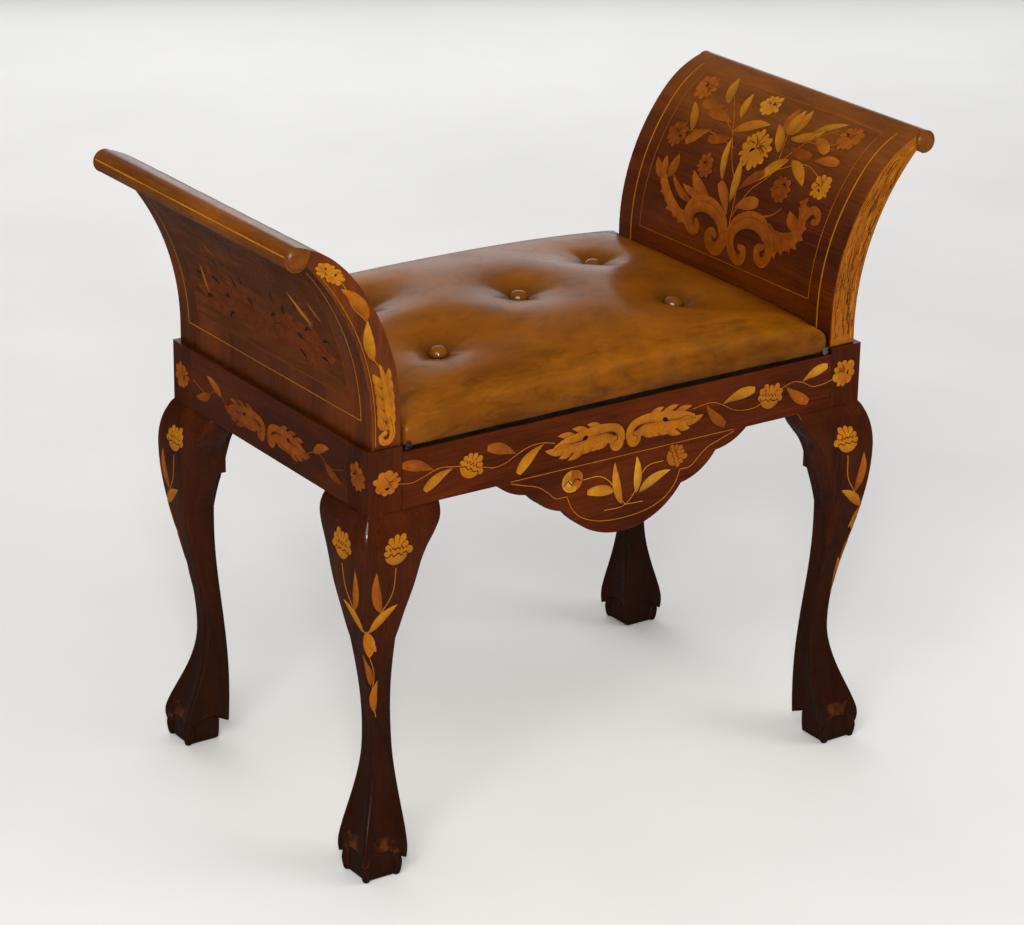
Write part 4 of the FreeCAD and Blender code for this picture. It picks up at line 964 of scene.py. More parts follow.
def makeButtons():
    s = buttonShape
    verts, faces, count = [], [], s["steps"]
    for bx, by in buttonPlaces:
        origin, turn = buttonFrame(bx, by)
        seat = Vector((0, 0, s["lift"] - padShape["tuftDepth"]))
        rings = []
        for radius, height in buttonLine:
            pleat = s["pleat"] * (radius / s["pleatAt"]) ** 3
            ring = []
            for step in range(count):
                angle = 2 * math.pi * step / count
                reach = radius * (1 + s["wobble"] * pleat * math.cos(s["wobbles"] * angle))
                reach += pleat * math.cos(s["pleats"] * angle)
                rim = Vector((reach * math.cos(angle), reach * math.sin(angle), height))
                ring.append(tuple(origin + turn @ (seat + rim)))
            rings.append(ring)
        addTube(verts, faces, rings)
    buttons = makePiece("covered_buttons", verts, faces, buttonHide, "tan_leather", "lid", sharp=180)
    whole = count * len(buttonLine)
    # painted shade: each button darker from its dome down to its rim
    buttonShade = [s["leastShade"] + s["tuftShade"] * (number % whole) / whole for number in range(len(verts))]
    mark(buttons, "paintedShade", buttonShade)
    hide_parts("seat_buttons")


makeButtons()

# worn ends of the lid's black binding, which show at the front corners of the seat
bindingShape = dict(x=237.4, y=-176.4, steps=18,
                    rings=((416, 2.8, 0.8), (417.6, 3.8, 1.2), (419.6, 3.0, 1.5), (421.4, 3.4, 1.0),
                           (423.2, 1.4, 0.6)))


def makeBindings():
    s = bindingShape
    for side, sign in sideSigns:
        rings = []
        for z, wide, deep in s["rings"]:
            ring = []
            for step in range(s["steps"]):
                turn = 2 * math.pi * step / s["steps"]
                crumple = 1 + 0.2 * math.sin(3 * turn + z) + 0.14 * math.sin(5 * turn - 2 * z)
                x, y = s["x"] + wide * crumple * math.cos(turn), s["y"] + deep * crumple * math.sin(turn)
                ring.append((sign * x, y, z + 0.5 * math.sin(2 * turn + z)))
            rings.append(ring)
        tubePiece("lid_binding_" + side, rings, wornBlack, "lid_black", "lid", sharp=25)


makeBindings()
print("seat and buttons made")


# marquetry: patches drawn flat in millimetres, then laid on a surface as thin veneer
chance = random.Random(4)


def patch(points, tone, scorch):
    return [dict(points=np.array(points, float), tone=tone, scorch=np.array(scorch, float))]


def aim(degrees, length=1.0):
    return np.array((length * math.cos(math.radians(degrees)), length * math.sin(math.radians(degrees))))


def normalsOf(line):  # to the left of a flat line, at each of its points
    along = np.gradient(line, axis=0)
    return np.stack((-along[:, 1], along[:, 0]), 1) / np.linalg.norm(along, axis=1, keepdims=True)


# belly moves the widest place towards the tip, reach below 1 cuts the tip off square
def leaf(start, tip, width, bend=0.15, tone=0.7, burn=0.6, belly=0.8, reach=1.0):
    first, last = np.array(start, float), np.array(tip, float)
    run = last - first
    pull = (first + last) / 2 + np.array((-run[1], run[0])) * bend
    across, points, scorch = np.linspace(-1, 1, 5), [], []
    for t in np.linspace(0, reach, 11):
        middle = (1 - t) ** 2 * first + 2 * t * (1 - t) * pull + t * t * last
        along = (pull - first) * (1 - t) + (last - pull) * t
        normal = np.array((-along[1], along[0])) / max(math.hypot(*along), 1e-6)
        half = width / 2 * abs(math.sin(math.pi * t ** belly)) ** 0.85 + 0.02
        points.append([middle + normal * half * v for v in across])
        scorch.append([burn * min(1.0, 0.85 * (1 - t) ** 2 + 0.55 * max(0.0, -v)) for v in across])
    return patch(points, tone + chance.uniform(-0.05, 0.05), scorch)


def ribbon(points, width=0.9, tone=0.85, taper=0.0, burn=0.0):
    rough = np.array(points, float)
    length = np.linalg.norm(np.diff(rough, axis=0), axis=1).sum()
    line = np.array(smoothLine(rough, max(3, round(length / 3.5))))
    normal = normalsOf(line)
    half = width / 2 * (1 - taper * np.linspace(0, 1, len(line)))[:, None]
    return patch(np.stack((line - normal * half, line + normal * half), 1), tone, [[burn, 0.0]] * len(line))


def disc(centre, radius, tone, burn=0.3, rim=0.0):
    spin = np.linspace(0, 360, 17)
    shares, middle = (0.03, 0.6, 0.86, 1.0), np.array(centre)
    points = [[middle + aim(turn, radius * share) for turn in spin] for share in shares]
    return patch(points, tone, [[shade] * len(spin) for shade in (burn, burn / 2, rim / 3, rim)])


# a smooth band of changing half-width, scorched along one hand
def band(spine, widths, tone, hand=1, burn=0.5):
    knots = runOf(spine)
    count = max(8, round(knots[-1] / 2.5))
    line = np.array(smoothLine(spine, count))
    normal = normalsOf(line)
    half = np.interp(np.linspace(0, knots[-1], count + 1), knots, widths)[:, None]
    points = np.stack([line + normal * half * v for v in (-1, -0.6, 0, 0.6, 1)], 1)
    scorch = [[burn * max(0.0, hand * v) ** 1.5 for v in (-1, -0.6, 0, 0.6, 1)]] * (count + 1)
    return patch(points, tone + chance.uniform(-0.03, 0.03), scorch)


# a band that winds in to a round end, with a vein, and a dark line where it closes on itself
def curl(spine, widths, tone, hand):
    drawn = band(spine, widths, tone, hand) + disc(spine[-1], widths[-1], tone, 0.0, 0.3)
    line = np.array(smoothLine(spine, 24))
    normal = normalsOf(line)
    half = np.interp(np.linspace(0, 1, 25), np.linspace(0, 1, len(widths)), widths)[:, None]
    inner = (line + hand * normal * half)[12:]
    vein = (line - hand * normal * half * 0.3)[3:20]
    return drawn + ribbon(inner, 0.8, 0.12, 0.5) + ribbon(vein, 0.7, 0.26, 0.6)


# leaf lobes along a spine, laid from the tip back so that each covers the foot of the one before it
def frond(spine, leftReach, rightReach, count, tone, lean=44):
    line = np.array(smoothLine(spine, count * 4))
    along = np.gradient(line, axis=0)
    drawn = []
    for n in range(count, 0, -1):
        place, way = line[n * 4 - 2], math.degrees(math.atan2(along[n * 4 - 2][1], along[n * 4 - 2][0]))
        for hand, reaches in ((1, leftReach), (-1, rightReach)):
            reach = np.interp(n / count, np.linspace(0, 1, len(reaches)), reaches)
            reach *= chance.uniform(0.85, 1.15)
            out = aim(way + hand * lean, reach)
            drawn += leaf(place - out * 0.3, place + out, 4 + reach * 0.4, -0.16 * hand, tone, 0.6, 0.72)
    return drawn


# rings of a flower, from its edge given as angle, reach and scorch
def bloom(middle, size, up, edge, heart):
    shares = (0.03, 0.45, 0.8, 1.0)
    points = [[middle + aim(angle + up, share * size * reach) for angle, reach, burn in edge]
              for share in shares]
    scorch = [[burn * share ** 2 + heart * (1 - share) for angle, reach, burn in edge] for share in shares]
    return points, scorch


# a ragged flower: uneven petals, dark strokes that fan up from its foot, and one dark spot
def flower(centre, size, tone=0.8, petals=9, up=90.0):
    middle = np.array(centre, float)
    shares = np.array([chance.uniform(0.6, 1.5) for n in range(petals)])
    bounds = np.concatenate([[0], np.cumsum(shares / shares.sum())]) * 360
    lengths = [chance.uniform(0.45, 1.3) for n in range(petals)]
    edge, drawn = [], []
    for angle in np.linspace(0, 360, 73):
        n = min(int(np.searchsorted(bounds, angle, "right")) - 1, petals - 1)
        petal = max(0.0, math.sin(math.pi * (angle - bounds[n]) / (bounds[n + 1] - bounds[n]))) ** 0.55
        edge.append((angle, 0.68 + 0.3 * lengths[n] * petal, 0.55 * (1 - petal)))
    points, scorch = bloom(middle, size, up, edge, 0.25)
    for n in range(petals):
        lean, near, run = chance.uniform(-100, 100), chance.uniform(0.05, 0.35), chance.uniform(0.3, 0.48)
        stroke = [middle + aim(up + lean * (0.6 + 0.4 * t), size * (near + run * t)) for t in (0, 0.5, 1)]
        drawn += ribbon(stroke, size * 0.045, 0.16, 0.5)
    spot = middle + aim(chance.uniform(0, 360), size * 0.35)
    drawn += leaf(spot, spot + aim(chance.uniform(0, 360), size * 0.36), size * 0.15, 0.4, 0.04, 0.0)
    return patch(points, tone + chance.uniform(-0.03, 0.03), scorch) + drawn


# a flower seen from the side: a cup that opens in a jagged edge, with dark cuts and saw-edged rims
def carnation(centre, size, tone=0.8, up=90):
    middle, teeth, spanned = np.array(centre, float), 7, 110
    jags = [chance.uniform(0.86, 1.2) for n in range(teeth)]
    edge, drawn = [], []
    for angle in np.linspace(-180, 180, 73):
        place = (angle + spanned) / (2 * spanned) * teeth
        tooth, burn = 0.84, 0.4
        if 0 <= place < teeth:
            tooth, burn = jags[int(place)] * (0.76 + 0.24 * math.sin(math.pi * (place % 1)) ** 0.6), 0.15
        edge.append((angle, tooth, burn))
    points, scorch = bloom(middle, size, up, edge, 0.2)
    for n in range(1, teeth):
        angle, deep = up - spanned + 2 * spanned * n / teeth, chance.uniform(0.2, 0.4)
        slit = [middle + aim(angle, size * share) for share in (0.8, 0.8 - deep / 2, 0.8 - deep)]
        drawn += ribbon(slit, size * 0.06, 0.12, 0.5)
    beside, ahead = aim(up - 90, size), aim(up, size)
    for width, height in ((0.86, -0.12), (0.5, 0.26)):  # saw-edged rims of the cup and of the heart
        rim = [middle + beside * width * t + ahead * (height - 0.1 + 0.11 * (-1) ** n)
               for n, t in enumerate(np.linspace(-1, 1, 8))]
        drawn += ribbon(rim, size * 0.08, 0.08)
    return patch(points, tone + chance.uniform(-0.03, 0.03), scorch) + drawn


def tulip(base, tip, width, tone=0.75):
    first, last = np.array(base, float), np.array(tip, float)
    side = np.array((-(last - first)[1], (last - first)[0])) / np.hypot(*(last - first)) * width / 2
    drawn = leaf(first, last + side * 0.7, width * 0.62, 0.2, tone - 0.1, 0.6, 0.7)
    drawn += leaf(first, last - side * 0.7, width * 0.62, -0.2, tone, 0.5, 0.7)
    return drawn + leaf(first, last * 0.94 + first * 0.06, width * 0.6, 0.0, tone + 0.08, 0.7, 0.75)


def mirrored(drawing):
    return [dict(piece, points=piece["points"] * np.array((-1, 1))) for piece in drawing]


# veneers by tone: 0 burnt line, 0.3 red-brown, 0.55 orange, 0.8 yellow, 1 pale holly
toneStops = ((0.0, (34, 13, 3)), (0.3, (116, 50, 5)), (0.55, (162, 84, 6)), (0.8, (188, 119, 13)),
             (1.0, (210, 158, 56)))


def inlayVeneer():
    material, tree, shader = newMaterial("inlay veneer", satinGloss)
    veneer = put(tree, "Attribute", attribute_name="veneer").outputs["Color"]
    channels = put(tree, "SeparateColor", {0: veneer}).outputs
    coords = objectCoords(tree)
    streak = noise(tree, scaled(tree, coords, (1, 1, 0.22)), 900.0, 3.0)
    cloud = noise(tree, coords, 120.0, 3.0)
    shade = plus(tree, spread(tree, streak, 0.3, 0.7, -0.06, 0.05),
                 spread(tree, cloud, 0.3, 0.7, -0.07, 0.06))
    ramp = put(tree, "ValToRGB", {0: plus(tree, channels[0], shade)})
    stops = ramp.color_ramp.elements
    while len(stops) < len(toneStops):
        stops.new(0.5)
    for stop, (tone, colour) in zip(stops, toneStops):
        stop.position, stop.color = tone, tint(*colour)
    scorched = mixColour(tree, times(tree, channels[1], 0.85), ramp.outputs[0], tint(92, 38, 8))
    layPolish(tree, shader, scorched, coords, {"Rough": 0.32, "Wear": 0.0, "GrimeAndShade": 0.2})
    return material


inlayWood = inlayVeneer()


def veneerLevels(drawing):  # a patch lies one level above those drawn before it in the same place
    corners = [(piece["points"].min((0, 1)), piece["points"].max((0, 1))) for piece in drawing]
    levels = []
    for low, high in corners:
        under = [level for level, (least, most) in zip(levels, corners)
                 if (least < high).all() and (most > low).all()]
        levels.append(max(under) + 1 if under else 0)
    return levels


veneerShape = dict(thick=0.3, lift=0.06, step=0.012, pile=0.5, split=50)


def layVeneer(name, drawing, placing, slot, material=inlayWood, lift=veneerShape["lift"]):
    verts, faces, veneer = [], [], []
    levels = veneerLevels(drawing)
    step = min(veneerShape["step"], veneerShape["pile"] / (1 + max(levels)))
    for piece, level in zip(drawing, levels):
        grid = piece["points"]
        rows, columns = grid.shape[:2]
        height, start = lift + step * level, len(verts)
        verts += [placing(u, v, height) for row in grid for u, v in row]
        veneer += [(piece["tone"], burn, 0, 1) for row in piece["scorch"] for burn in row]
        row, column = rows // 2, columns // 2
        middle = grid[row, column]
        ahead, beside = grid[row + 1, column] - middle, grid[row, column - 1] - middle
        a, b, c, out = (Vector(placing(middle[0] + across, middle[1] + up, height + proud))
                        for across, up, proud in ((0, 0, 0), (0.5, 0, 0), (0, 0.5, 0), (0, 0, 1)))
        drawnTurn = ahead[0] * beside[1] - ahead[1] * beside[0]
        surfaceTurn = (b - a).cross(c - a).dot(out - a)
        cells = gridFaces(start, rows, columns)
        faces += cells if drawnTurn * surfaceTurn < 0 else [cell[::-1] for cell in cells]
    inlay = makePiece(name, verts, faces, material, slot, sharp=60, closed=False)
    tones = inlay.data.attributes.new("veneer", "FLOAT_COLOR", "POINT")
    tones.data.foreach_set("color", np.array(veneer, float).ravel())
    thick = inlay.modifiers.new("veneer", "SOLIDIFY")
    thick.thickness, thick.offset = veneerShape["thick"] * mm, -1
    crisp = inlay.modifiers.new("crisp", "EDGE_SPLIT")
    crisp.split_angle = math.radians(veneerShape["split"])


# where drawings go: across, up and proud of a surface, to the frame's millimetres
def onLong(sign):  # the front, -1, or the back, 1
    def placing(u, v, h):
        return -sign * u, sign * (postY + h), v
    return placing


def onShort(sign):  # the left side, -1, or the right, 1
    def placing(u, v, h):
        return sign * (postX + h), sign * u, v
    return placing


def onKnee(sideSign, endSign):  # u is the length from the outer ridge, towards the long face
    def placing(u, v, h):
        radius, near = ridgeAt(v, True), outerFace(v)
        half = radius * math.pi / 4
        lean = math.pi / 4 + max(-half, min(half, u)) / radius
        p = near + radius - (radius + h) * math.cos(lean) + max(0.0, u - half)
        q = near + radius - (radius + h) * math.sin(lean) + max(0.0, -u - half)
        return sideSign * (postX - p), endSign * (postY - q), v
    return placing


def onArmFace(sign, profile, out, way):
    def placing(u, v, h):
        (x, z), turn = profile(v)
        lean = math.radians(turn)
        return sign * (x - out * h * math.cos(lean)), way * u, z + out * h * math.sin(lean)
    return placing


# heights up the edge of a panel, and the lengths along its two faces that they stand for
edgeRun = dict(up=(0, 198, 216), inner=(0, 204, 232), outer=(0, 190, 199), across=30)


def onArmEdge(sign, endSign):  # u from the inner to the outer face, v up the panel
    def placing(u, v, h):
        (innerX, innerZ), turn = innerProfile(float(np.interp(v, edgeRun["up"], edgeRun["inner"])))
        (outerX, outerZ), turn = outerProfile(float(np.interp(v, edgeRun["up"], edgeRun["outer"])))
        share = 0.5 + u / edgeRun["across"]
        x, z = innerX + (outerX - innerX) * share, innerZ + (outerZ - innerZ) * share
        return sign * x, endSign * (edgeY + h), z
    return placing


# the scroll of the rails: lobes from the tip back, a C-shaped band over them, a knob at its root
scrollLobes = (
    ((64, 8), (91, 11), 9, -0.14), ((56, 17), (77, 22.5), 7, 0.14), ((60, 6), (75, 0.5), 7, -0.14),
    ((42, 19), (61, 26.5), 7, 0.14), ((46, 7), (65, -3.5), 8, -0.14), ((36, 8), (49, 0), 7, -0.14),
    ((28, 20), (44, 27.5), 7, 0.14), ((27, 9), (39, 0), 6.5, -0.14), ((19, 9), (32, 0.5), 6, -0.14))
scrollBody = ((13, 6), (22, 10), (32, 10), (44, 9), (56, 8.4), (70, 8)), (4, 4.8, 5.4, 5.6, 5.6, 3.4)
scrollBand = (
    ((80, 11), (70, 14), (56, 16.5), (42, 18.5), (31, 20), (19, 19.4), (9.5, 16.5), (5.4, 11), (5.4, 4)),
    (2.4, 4, 4.6, 5, 4.6, 4.4, 4.4, 4.4, 4.6))
scrollStrokes = (
    ((9.2, 6), (9.8, 11), (14, 14.4), (22, 15.4), (34, 14.6)),
    ((49, 13), (60, 12.4), (72, 13.4), (82, 9)), ((9.2, 6), (13, 5), (14.6, 1.6), (12, -1), (9.4, 0.6)))


def scrollLeaf(across, up, grow, tone):
    def spot(u, v):
        return across + grow * u, up + grow * v
    drawn = []
    for start, tip, width, bend in scrollLobes:
        drawn += leaf(spot(*start), spot(*tip), grow * width, bend, tone, 0.6, 0.72)
    for spine, widths in (scrollBody, scrollBand):
        drawn += band([spot(u, v) for u, v in spine], [grow * width for width in widths], tone)
    drawn += disc(spot(9.8, 2.6), grow * 8, tone, 0.0, 0.3)
    for stroke in scrollStrokes:
        drawn += ribbon([spot(u, v) for u, v in stroke], grow * 0.75, 0.1, 0.5)
    return drawn + leaf(spot(42.5, 15.6), spot(49, 12.4), grow * 4.4, 0.2, 0.0, 0.0)


# long rails: stems with leaves and flowers that lead to a pair of acanthus scrolls
def railDrawing():
    stems = (
        ((-250, 386), (-234, 384), (-220, 388), (-206, 392), (-189, 390), (-172, 387)),
        ((-172, 387), (-158, 383), (-146, 380), (-134, 382), (-121, 388), (-106, 393), (-92, 393),
         (-80, 390)),
        ((78, 392), (90, 394), (102, 394), (114, 389), (126, 382), (138, 379), (152, 379), (170, 386)),
        ((170, 386), (187, 393), (198, 396), (210, 393), (221, 387), (237, 387), (250, 390)))
    drawn = []
    for stem in stems:
        drawn += ribbon(stem, 0.75, 0.64)
    for start, tip, width, bend, tone in (
            ((-211, 391), (-250, 403), 11, -0.12, 0.48), ((-191, 389), (-225, 370), 10, -0.14, 0.8),
            ((-122, 388), (-159, 401), 11, -0.14, 0.48), ((-92, 392), (-123, 364), 11, -0.16, 0.82),
            ((93, 394), (121, 366), 10, -0.14, 0.5), ((113, 390), (157, 397), 11, 0.12, 0.8),
            ((189, 393), (222, 370), 11, -0.12, 0.48), ((209, 394), (244, 405), 10, 0.12, 0.8)):
        drawn += leaf(start, tip, width, bend, tone, belly=1.25, reach=0.88)
    drawn += carnation((-172, 387), 14, 0.7, 60) + carnation((170, 386), 14, 0.7, 80)
    half = scrollLeaf(0.0, 373.5, 1.0, 0.66)
    return drawn + half + mirrored(half)


def postDrawing(across, size, tone):
    return flower((-across, 389), size, tone, 9, 20) + flower((across, 393), size, tone, 9, 75)


# short rails: the same scrolls, smaller and in darker wood
def sideDrawing():
    half = scrollLeaf(1.0, 376, 0.86, 0.38)
    half += ribbon(((72, 386), (92, 394), (112, 386), (138, 392)), 0.8, 0.4)
    half += leaf((84, 391), (112, 404), 9, 0.14, 0.5) + leaf((104, 388), (134, 377), 9, -0.14, 0.42)
    return half + mirrored(half)


# aprons: a spray of leaves with two flowers, inside a line that follows the scallops
def apronDrawing():
    border = ribbon(((128, 360), (112, 355), (97, 350), (86, 342), (78, 335), (65, 334)), 0.8, 0.66)
    border += ribbon(((65, 334), (60, 322), (50, 311), (36, 304), (18, 300), (0, 299)), 0.8, 0.66)
    drawn = border + mirrored(border) + ribbon(((-128, 362), (128, 362)), 0.8, 0.6)
    drawn += ribbon(((-47, 347), (-27, 346), (-15, 337), (-9, 326), (2, 312)), 0.8, 0.8)
    drawn += ribbon(((45, 347), (26, 345), (18, 336), (13, 323), (2, 312), (-22, 311)), 0.8, 0.8)
    drawn += ribbon(((2, 312), (22, 311)), 0.8, 0.8)
    drawn += leaf((-2, 313), (-11, 357), 9, 0.1, 0.85) + leaf((14, 321), (14, 358), 9, -0.1, 0.88)
    drawn += leaf((-11, 328), (-48, 333), 11, -0.1, 0.82, reach=0.84)
    drawn += leaf((18, 321), (54, 336), 10, 0.16, 0.86)
    drawn += carnation((59, 349), 12, 0.6, 20)
    drawn += disc((-60, 348), 11, 0.8, 0.5) + leaf((-60, 358), (-53, 339), 13, 0.3, 0.62)
    drawn += disc((-63, 346), 3, 0.95)
    return drawn + ribbon(((-69, 345), (-64, 349), (-60, 344), (-55, 350), (-50, 347)), 1.2, 0.04)


# knees: a flower on each face, stems that meet in a bud on the ridge, two leaves below
def kneeDrawing():
    drawn = []
    for hand, place, size in ((1, 33, 15), (-1, 35, 14)):
        side = ribbon(((place, 312), (29, 288), (16, 270), (0.5, 251)), 0.9, 0.72)
        side += leaf((16, 270), (13, 312), 10, 0.12, 0.62) + leaf((3, 252), (34, 275), 9, 0.12, 0.8)
        side += carnation((place, 328), size, 0.74)
        drawn += side if hand > 0 else mirrored(side)
    drawn += leaf((0, 254), (1, 224), 12, 0.08, 0.68, 0.5, 1.0) + leaf((0, 240), (8, 229), 6, 0.2, 0.72)
    drawn += ribbon(((1, 226), (4, 205), (1, 185), (3, 157)), 0.8, 0.6)
    return drawn + leaf((0, 192), (-7, 226), 6.5, -0.14, 0.55) + leaf((2, 162), (7, 197), 7, 0.14, 0.62)


# inner faces of the end panels: a bouquet that springs from two acanthus scrolls, framed by lines
bouquetLeaves = (
    ((-72, 190), (-90, 223), 12, 0.1, 0.84), ((-42, 180), (-52, 211), 10, 0.12, 0.8),
    ((-70, 188), (-113, 184), 12, 0.14, 0.6), ((-100, 150), (-119, 180), 11, -0.14, 0.74),
    ((-50, 172), (-97, 173), 13, -0.16, 0.58), ((-44, 164), (2, 185), 12, 0.14, 0.76),
    ((-72, 159), (-105, 133), 12, -0.14, 0.6), ((-38, 160), (-77, 150), 11, 0.14, 0.42),
    ((33, 161), (11, 189), 12, -0.12, 0.82), ((38, 179), (75, 199), 11, -0.14, 0.84),
    ((60, 192), (93, 215), 9, 0.1, 0.86), ((66, 189), (99, 175), 13, 0.14, 0.62),
    ((44, 172), (85, 170), 12, -0.14, 0.46), ((84, 166), (123, 172), 11, 0.12, 0.6),
    ((-26, 116), (-39, 159), 9, 0.12, 0.82), ((-5, 98), (-12, 143), 11, -0.12, 0.84),
    ((53, 159), (23, 127), 12, -0.14, 0.84), ((56, 159), (87, 139), 13, 0.16, 0.76),
    ((2, 112), (35, 141), 11, 0.14, 0.48), ((-4, 84), (-33, 117), 13, -0.16, 0.62),
    ((4, 94), (43, 108), 14, 0.16, 0.6))
bouquetFlowers = (
    (-118, 199, 16, 0.56), (-19, 205, 15, 0.8), (110, 201, 16, 0.5), (-118, 143, 15, 0.42),
    (-58, 123, 13, 0.36), (60, 129, 15, 0.36), (112, 145, 14, 0.74))
bouquetStems = (
    ((4, 72), (-2, 112), (-21, 134), (-42, 164), (-60, 188), (-80, 206)),
    ((-42, 164), (-70, 178), (-112, 196)), ((4, 86), (18, 116), (40, 144), (36, 166), (28, 190)),
    ((40, 150), (62, 182), (90, 206)), ((40, 144), (80, 160), (110, 150)),
    ((62, 182), (90, 186), (110, 196)), ((-30, 150), (-80, 156), (-116, 146)))
# ragged leaves: spine, reaches of the lobes on both hands, pairs of lobes, half-widths of the rib, tone
bouquetFronds = (
    (((-62, 66), (-78, 68), (-90, 74), (-103, 84), (-114, 97), (-122, 108)),
     (12, 13, 12, 10), (4, 5, 6, 6), 8, (6, 6, 6, 6, 5, 3), 0.5),
    (((57, 87), (68, 81), (78, 80), (90, 83), (99, 88), (105, 98), (105, 109), (102, 118), (98, 126)),
     (12, 12, 10, 10, 9), (24, 23, 17, 14, 12, 9), 10, (9, 10, 10, 9, 8, 7, 6, 5, 3), 0.42))
bouquetLobes = (
    ((-112, 96), (-132, 114), 12, 0.2, 0.46), ((-108, 98), (-102, 125), 13, -0.15, 0.5),
    ((-113, 98), (-119, 119), 10, 0.1, 0.5), ((-60, 84), (-101, 104), 9, 0.2, 0.46),
    ((-34, 92), (-72, 115), 15, 0.2, 0.54), ((-44, 92), (-82, 98), 9, 0.1, 0.48),
    ((102, 98), (84, 113), 14, 0.16, 0.44))
# curls that wind in to their ends, each with its half-widths and the hand of its inner side
bouquetCurls = (
    (((-6, 74), (-3, 66), (-3, 58), (-7, 51), (-14, 48), (-22, 51), (-25, 58), (-21, 64), (-16, 62)),
     (7, 7, 7, 7, 7, 6.5, 6, 5, 3.6), -1, 0.48),
    (((-3, 68), (-8, 76), (-17, 83), (-29, 87), (-42, 87), (-56, 81), (-61, 71), (-58, 62), (-50, 58),
      (-45, 62), (-48, 67)), (7, 8, 8.5, 8.5, 8.5, 9, 8.5, 7, 5.5, 4.6, 3.4), 1, 0.5),
    (((57, 86), (66, 78), (70, 69), (68, 59), (61, 54), (54, 58), (53, 66), (59, 69)),
     (7, 7, 6, 5.5, 5.5, 5.5, 4.6, 3.4), -1, 0.42),
    (((62, 78), (57, 85), (46, 90), (34, 90), (22, 86), (12, 77), (9, 66), (11, 58), (17, 50), (26, 47),
      (32, 52), (31, 59), (26, 60)), (6, 8, 9, 9, 8.5, 8, 7, 6.5, 6, 6, 5.4, 4.6, 3.4), 1, 0.44),
    (((106, 108), (110, 117), (116, 122), (124, 119), (126, 113), (121, 111)),
     (5, 4.5, 4.5, 4.4, 4, 3.2), -1, 0.44))


def frameLines(across, low, high, width, tone):
    sides = ribbon(((-across, low), (-across, (low + high) / 2), (-across, high)), width, tone)
    return sides + mirrored(sides) + ribbon(((-across, low), (0, low), (across, low)), width, tone)


def bouquetDrawing():
    drawn = frameLines(138, 39, 221, 0.8, 0.54) + ribbon(((-138, 221), (0, 221), (138, 221)), 0.8, 0.54)
    for across in (-153, 153):
        drawn += ribbon(((across, 1), (across, 110), (across, 226)), 1.6, 0.72)
    for spine in bouquetStems:
        drawn += ribbon(spine, 0.9, 0.6)
    for spine, leftReach, rightReach, count, widths, tone in bouquetFronds:
        drawn += frond(spine, leftReach, rightReach, count, tone) + band(spine, widths, tone, 1, 0.2)
    for start, tip, width, bend, tone in bouquetLobes:
        drawn += leaf(start, tip, width, bend, tone, 0.6, 0.85)
    for spine, widths, hand, tone in bouquetCurls:
        drawn += curl(spine, widths, tone, hand)
    drawn += ribbon(((38, 95), (54, 99), (64, 104), (72, 112)), 3.4, 0.52, 0.8)
    for start, tip, width, bend, tone in bouquetLeaves:
        belly, reach = (1.2, 0.86) if tone < 0.7 else (0.9, 1.0)  # the darker leaves are cut off broad
        drawn += leaf(start, tip, width, bend, tone - 0.06, belly=belly, reach=reach)
    for u, v, size, tone in bouquetFlowers:
        drawn += flower((u, v), size, tone, 10, 90 + 0.3 * u)
    drawn += tulip((32, 182), (28, 216), 24, 0.68)
    return drawn + flower((0, 157), 22, 0.76, 15, 80)


# outer faces: a lined field with dark scrolls, and a few pale slivers of leaf
def fieldDrawing():
    rows = [[(u, v) for u in np.linspace(-136, 136, 5)] for v in np.linspace(38, 178, 48)]
    return patch(rows, 0.3, np.zeros((48, 5)))


def scrollDrawing():
    drawn = frameLines(156, 23, 184, 0.65, 0.76) + frameLines(136, 38, 178, 0.5, 0.38)
    half = frond(((66, 80), (92, 94), (88, 122)), (9, 10, 6), (9, 10, 6), 6, 0.26)
    half += scrollLeaf(3, 58, 1.35, 0.24)
    for place, angle in (((16, 80), 30), ((44, 92), 65), ((58, 62), -40), ((78, 86), 20), ((98, 66), -20),
                         ((30, 100), 80), ((70, 104), 50), ((108, 84), 10)):
        half += leaf(place, np.array(place) + aim(angle, 14), 3.4, 0.42, 0.0, 0.0)
    drawn += half + mirrored(half)
    drawn += leaf((-104, 68), (-107, 100), 5, 0.1, 0.62) + leaf((96, 98), (70, 126), 7, 0.1, 0.74)
    return drawn + leaf((118, 109), (105, 127), 4, 0.1, 0.6) + leaf((-60, 118), (-84, 138), 4, 0.1, 0.4)


# front edges of the panels: a plume, two leaves and a flower on one stem, and a line beside them
def edgeDrawing():
    drawn = ribbon([(11.5, v) for v in (3, 50, 110, 160, 196)], 0.7, 0.66)
    drawn += ribbon(((0, 76), (5, 96), (-3, 120), (3, 146), (-2, 170), (1, 184)), 0.8, 0.74)
    for v in (67, 56, 45, 34, 25):
        for hand in (-1, 1):
            drawn += leaf((0, v - 8), (8 * hand, v + 8), 7.6, -0.2 * hand, 0.7, 0.5)
    drawn += leaf((0, 58), (0, 82), 5, 0.06, 0.72) + band(((0, 74), (-1, 50), (-2, 30)), (1.4, 3, 3.4), 0.7)
    drawn += curl(((-1, 34), (-5, 22), (-6, 12), (-2, 6), (4, 6.5), (5.5, 12), (1.5, 14.5)),
                  (2.4, 3, 3.2, 3, 3, 2.8, 2.4), 0.72, 1)
    drawn += leaf((4, 86), (-4, 126), 11, -0.16, 0.78) + leaf((-4, 126), (3, 168), 13, 0.18, 0.6)
    return drawn + flower((-1, 182), 10, 0.74, 8) + flower((1, 193), 11.5, 0.74, 9, 30)


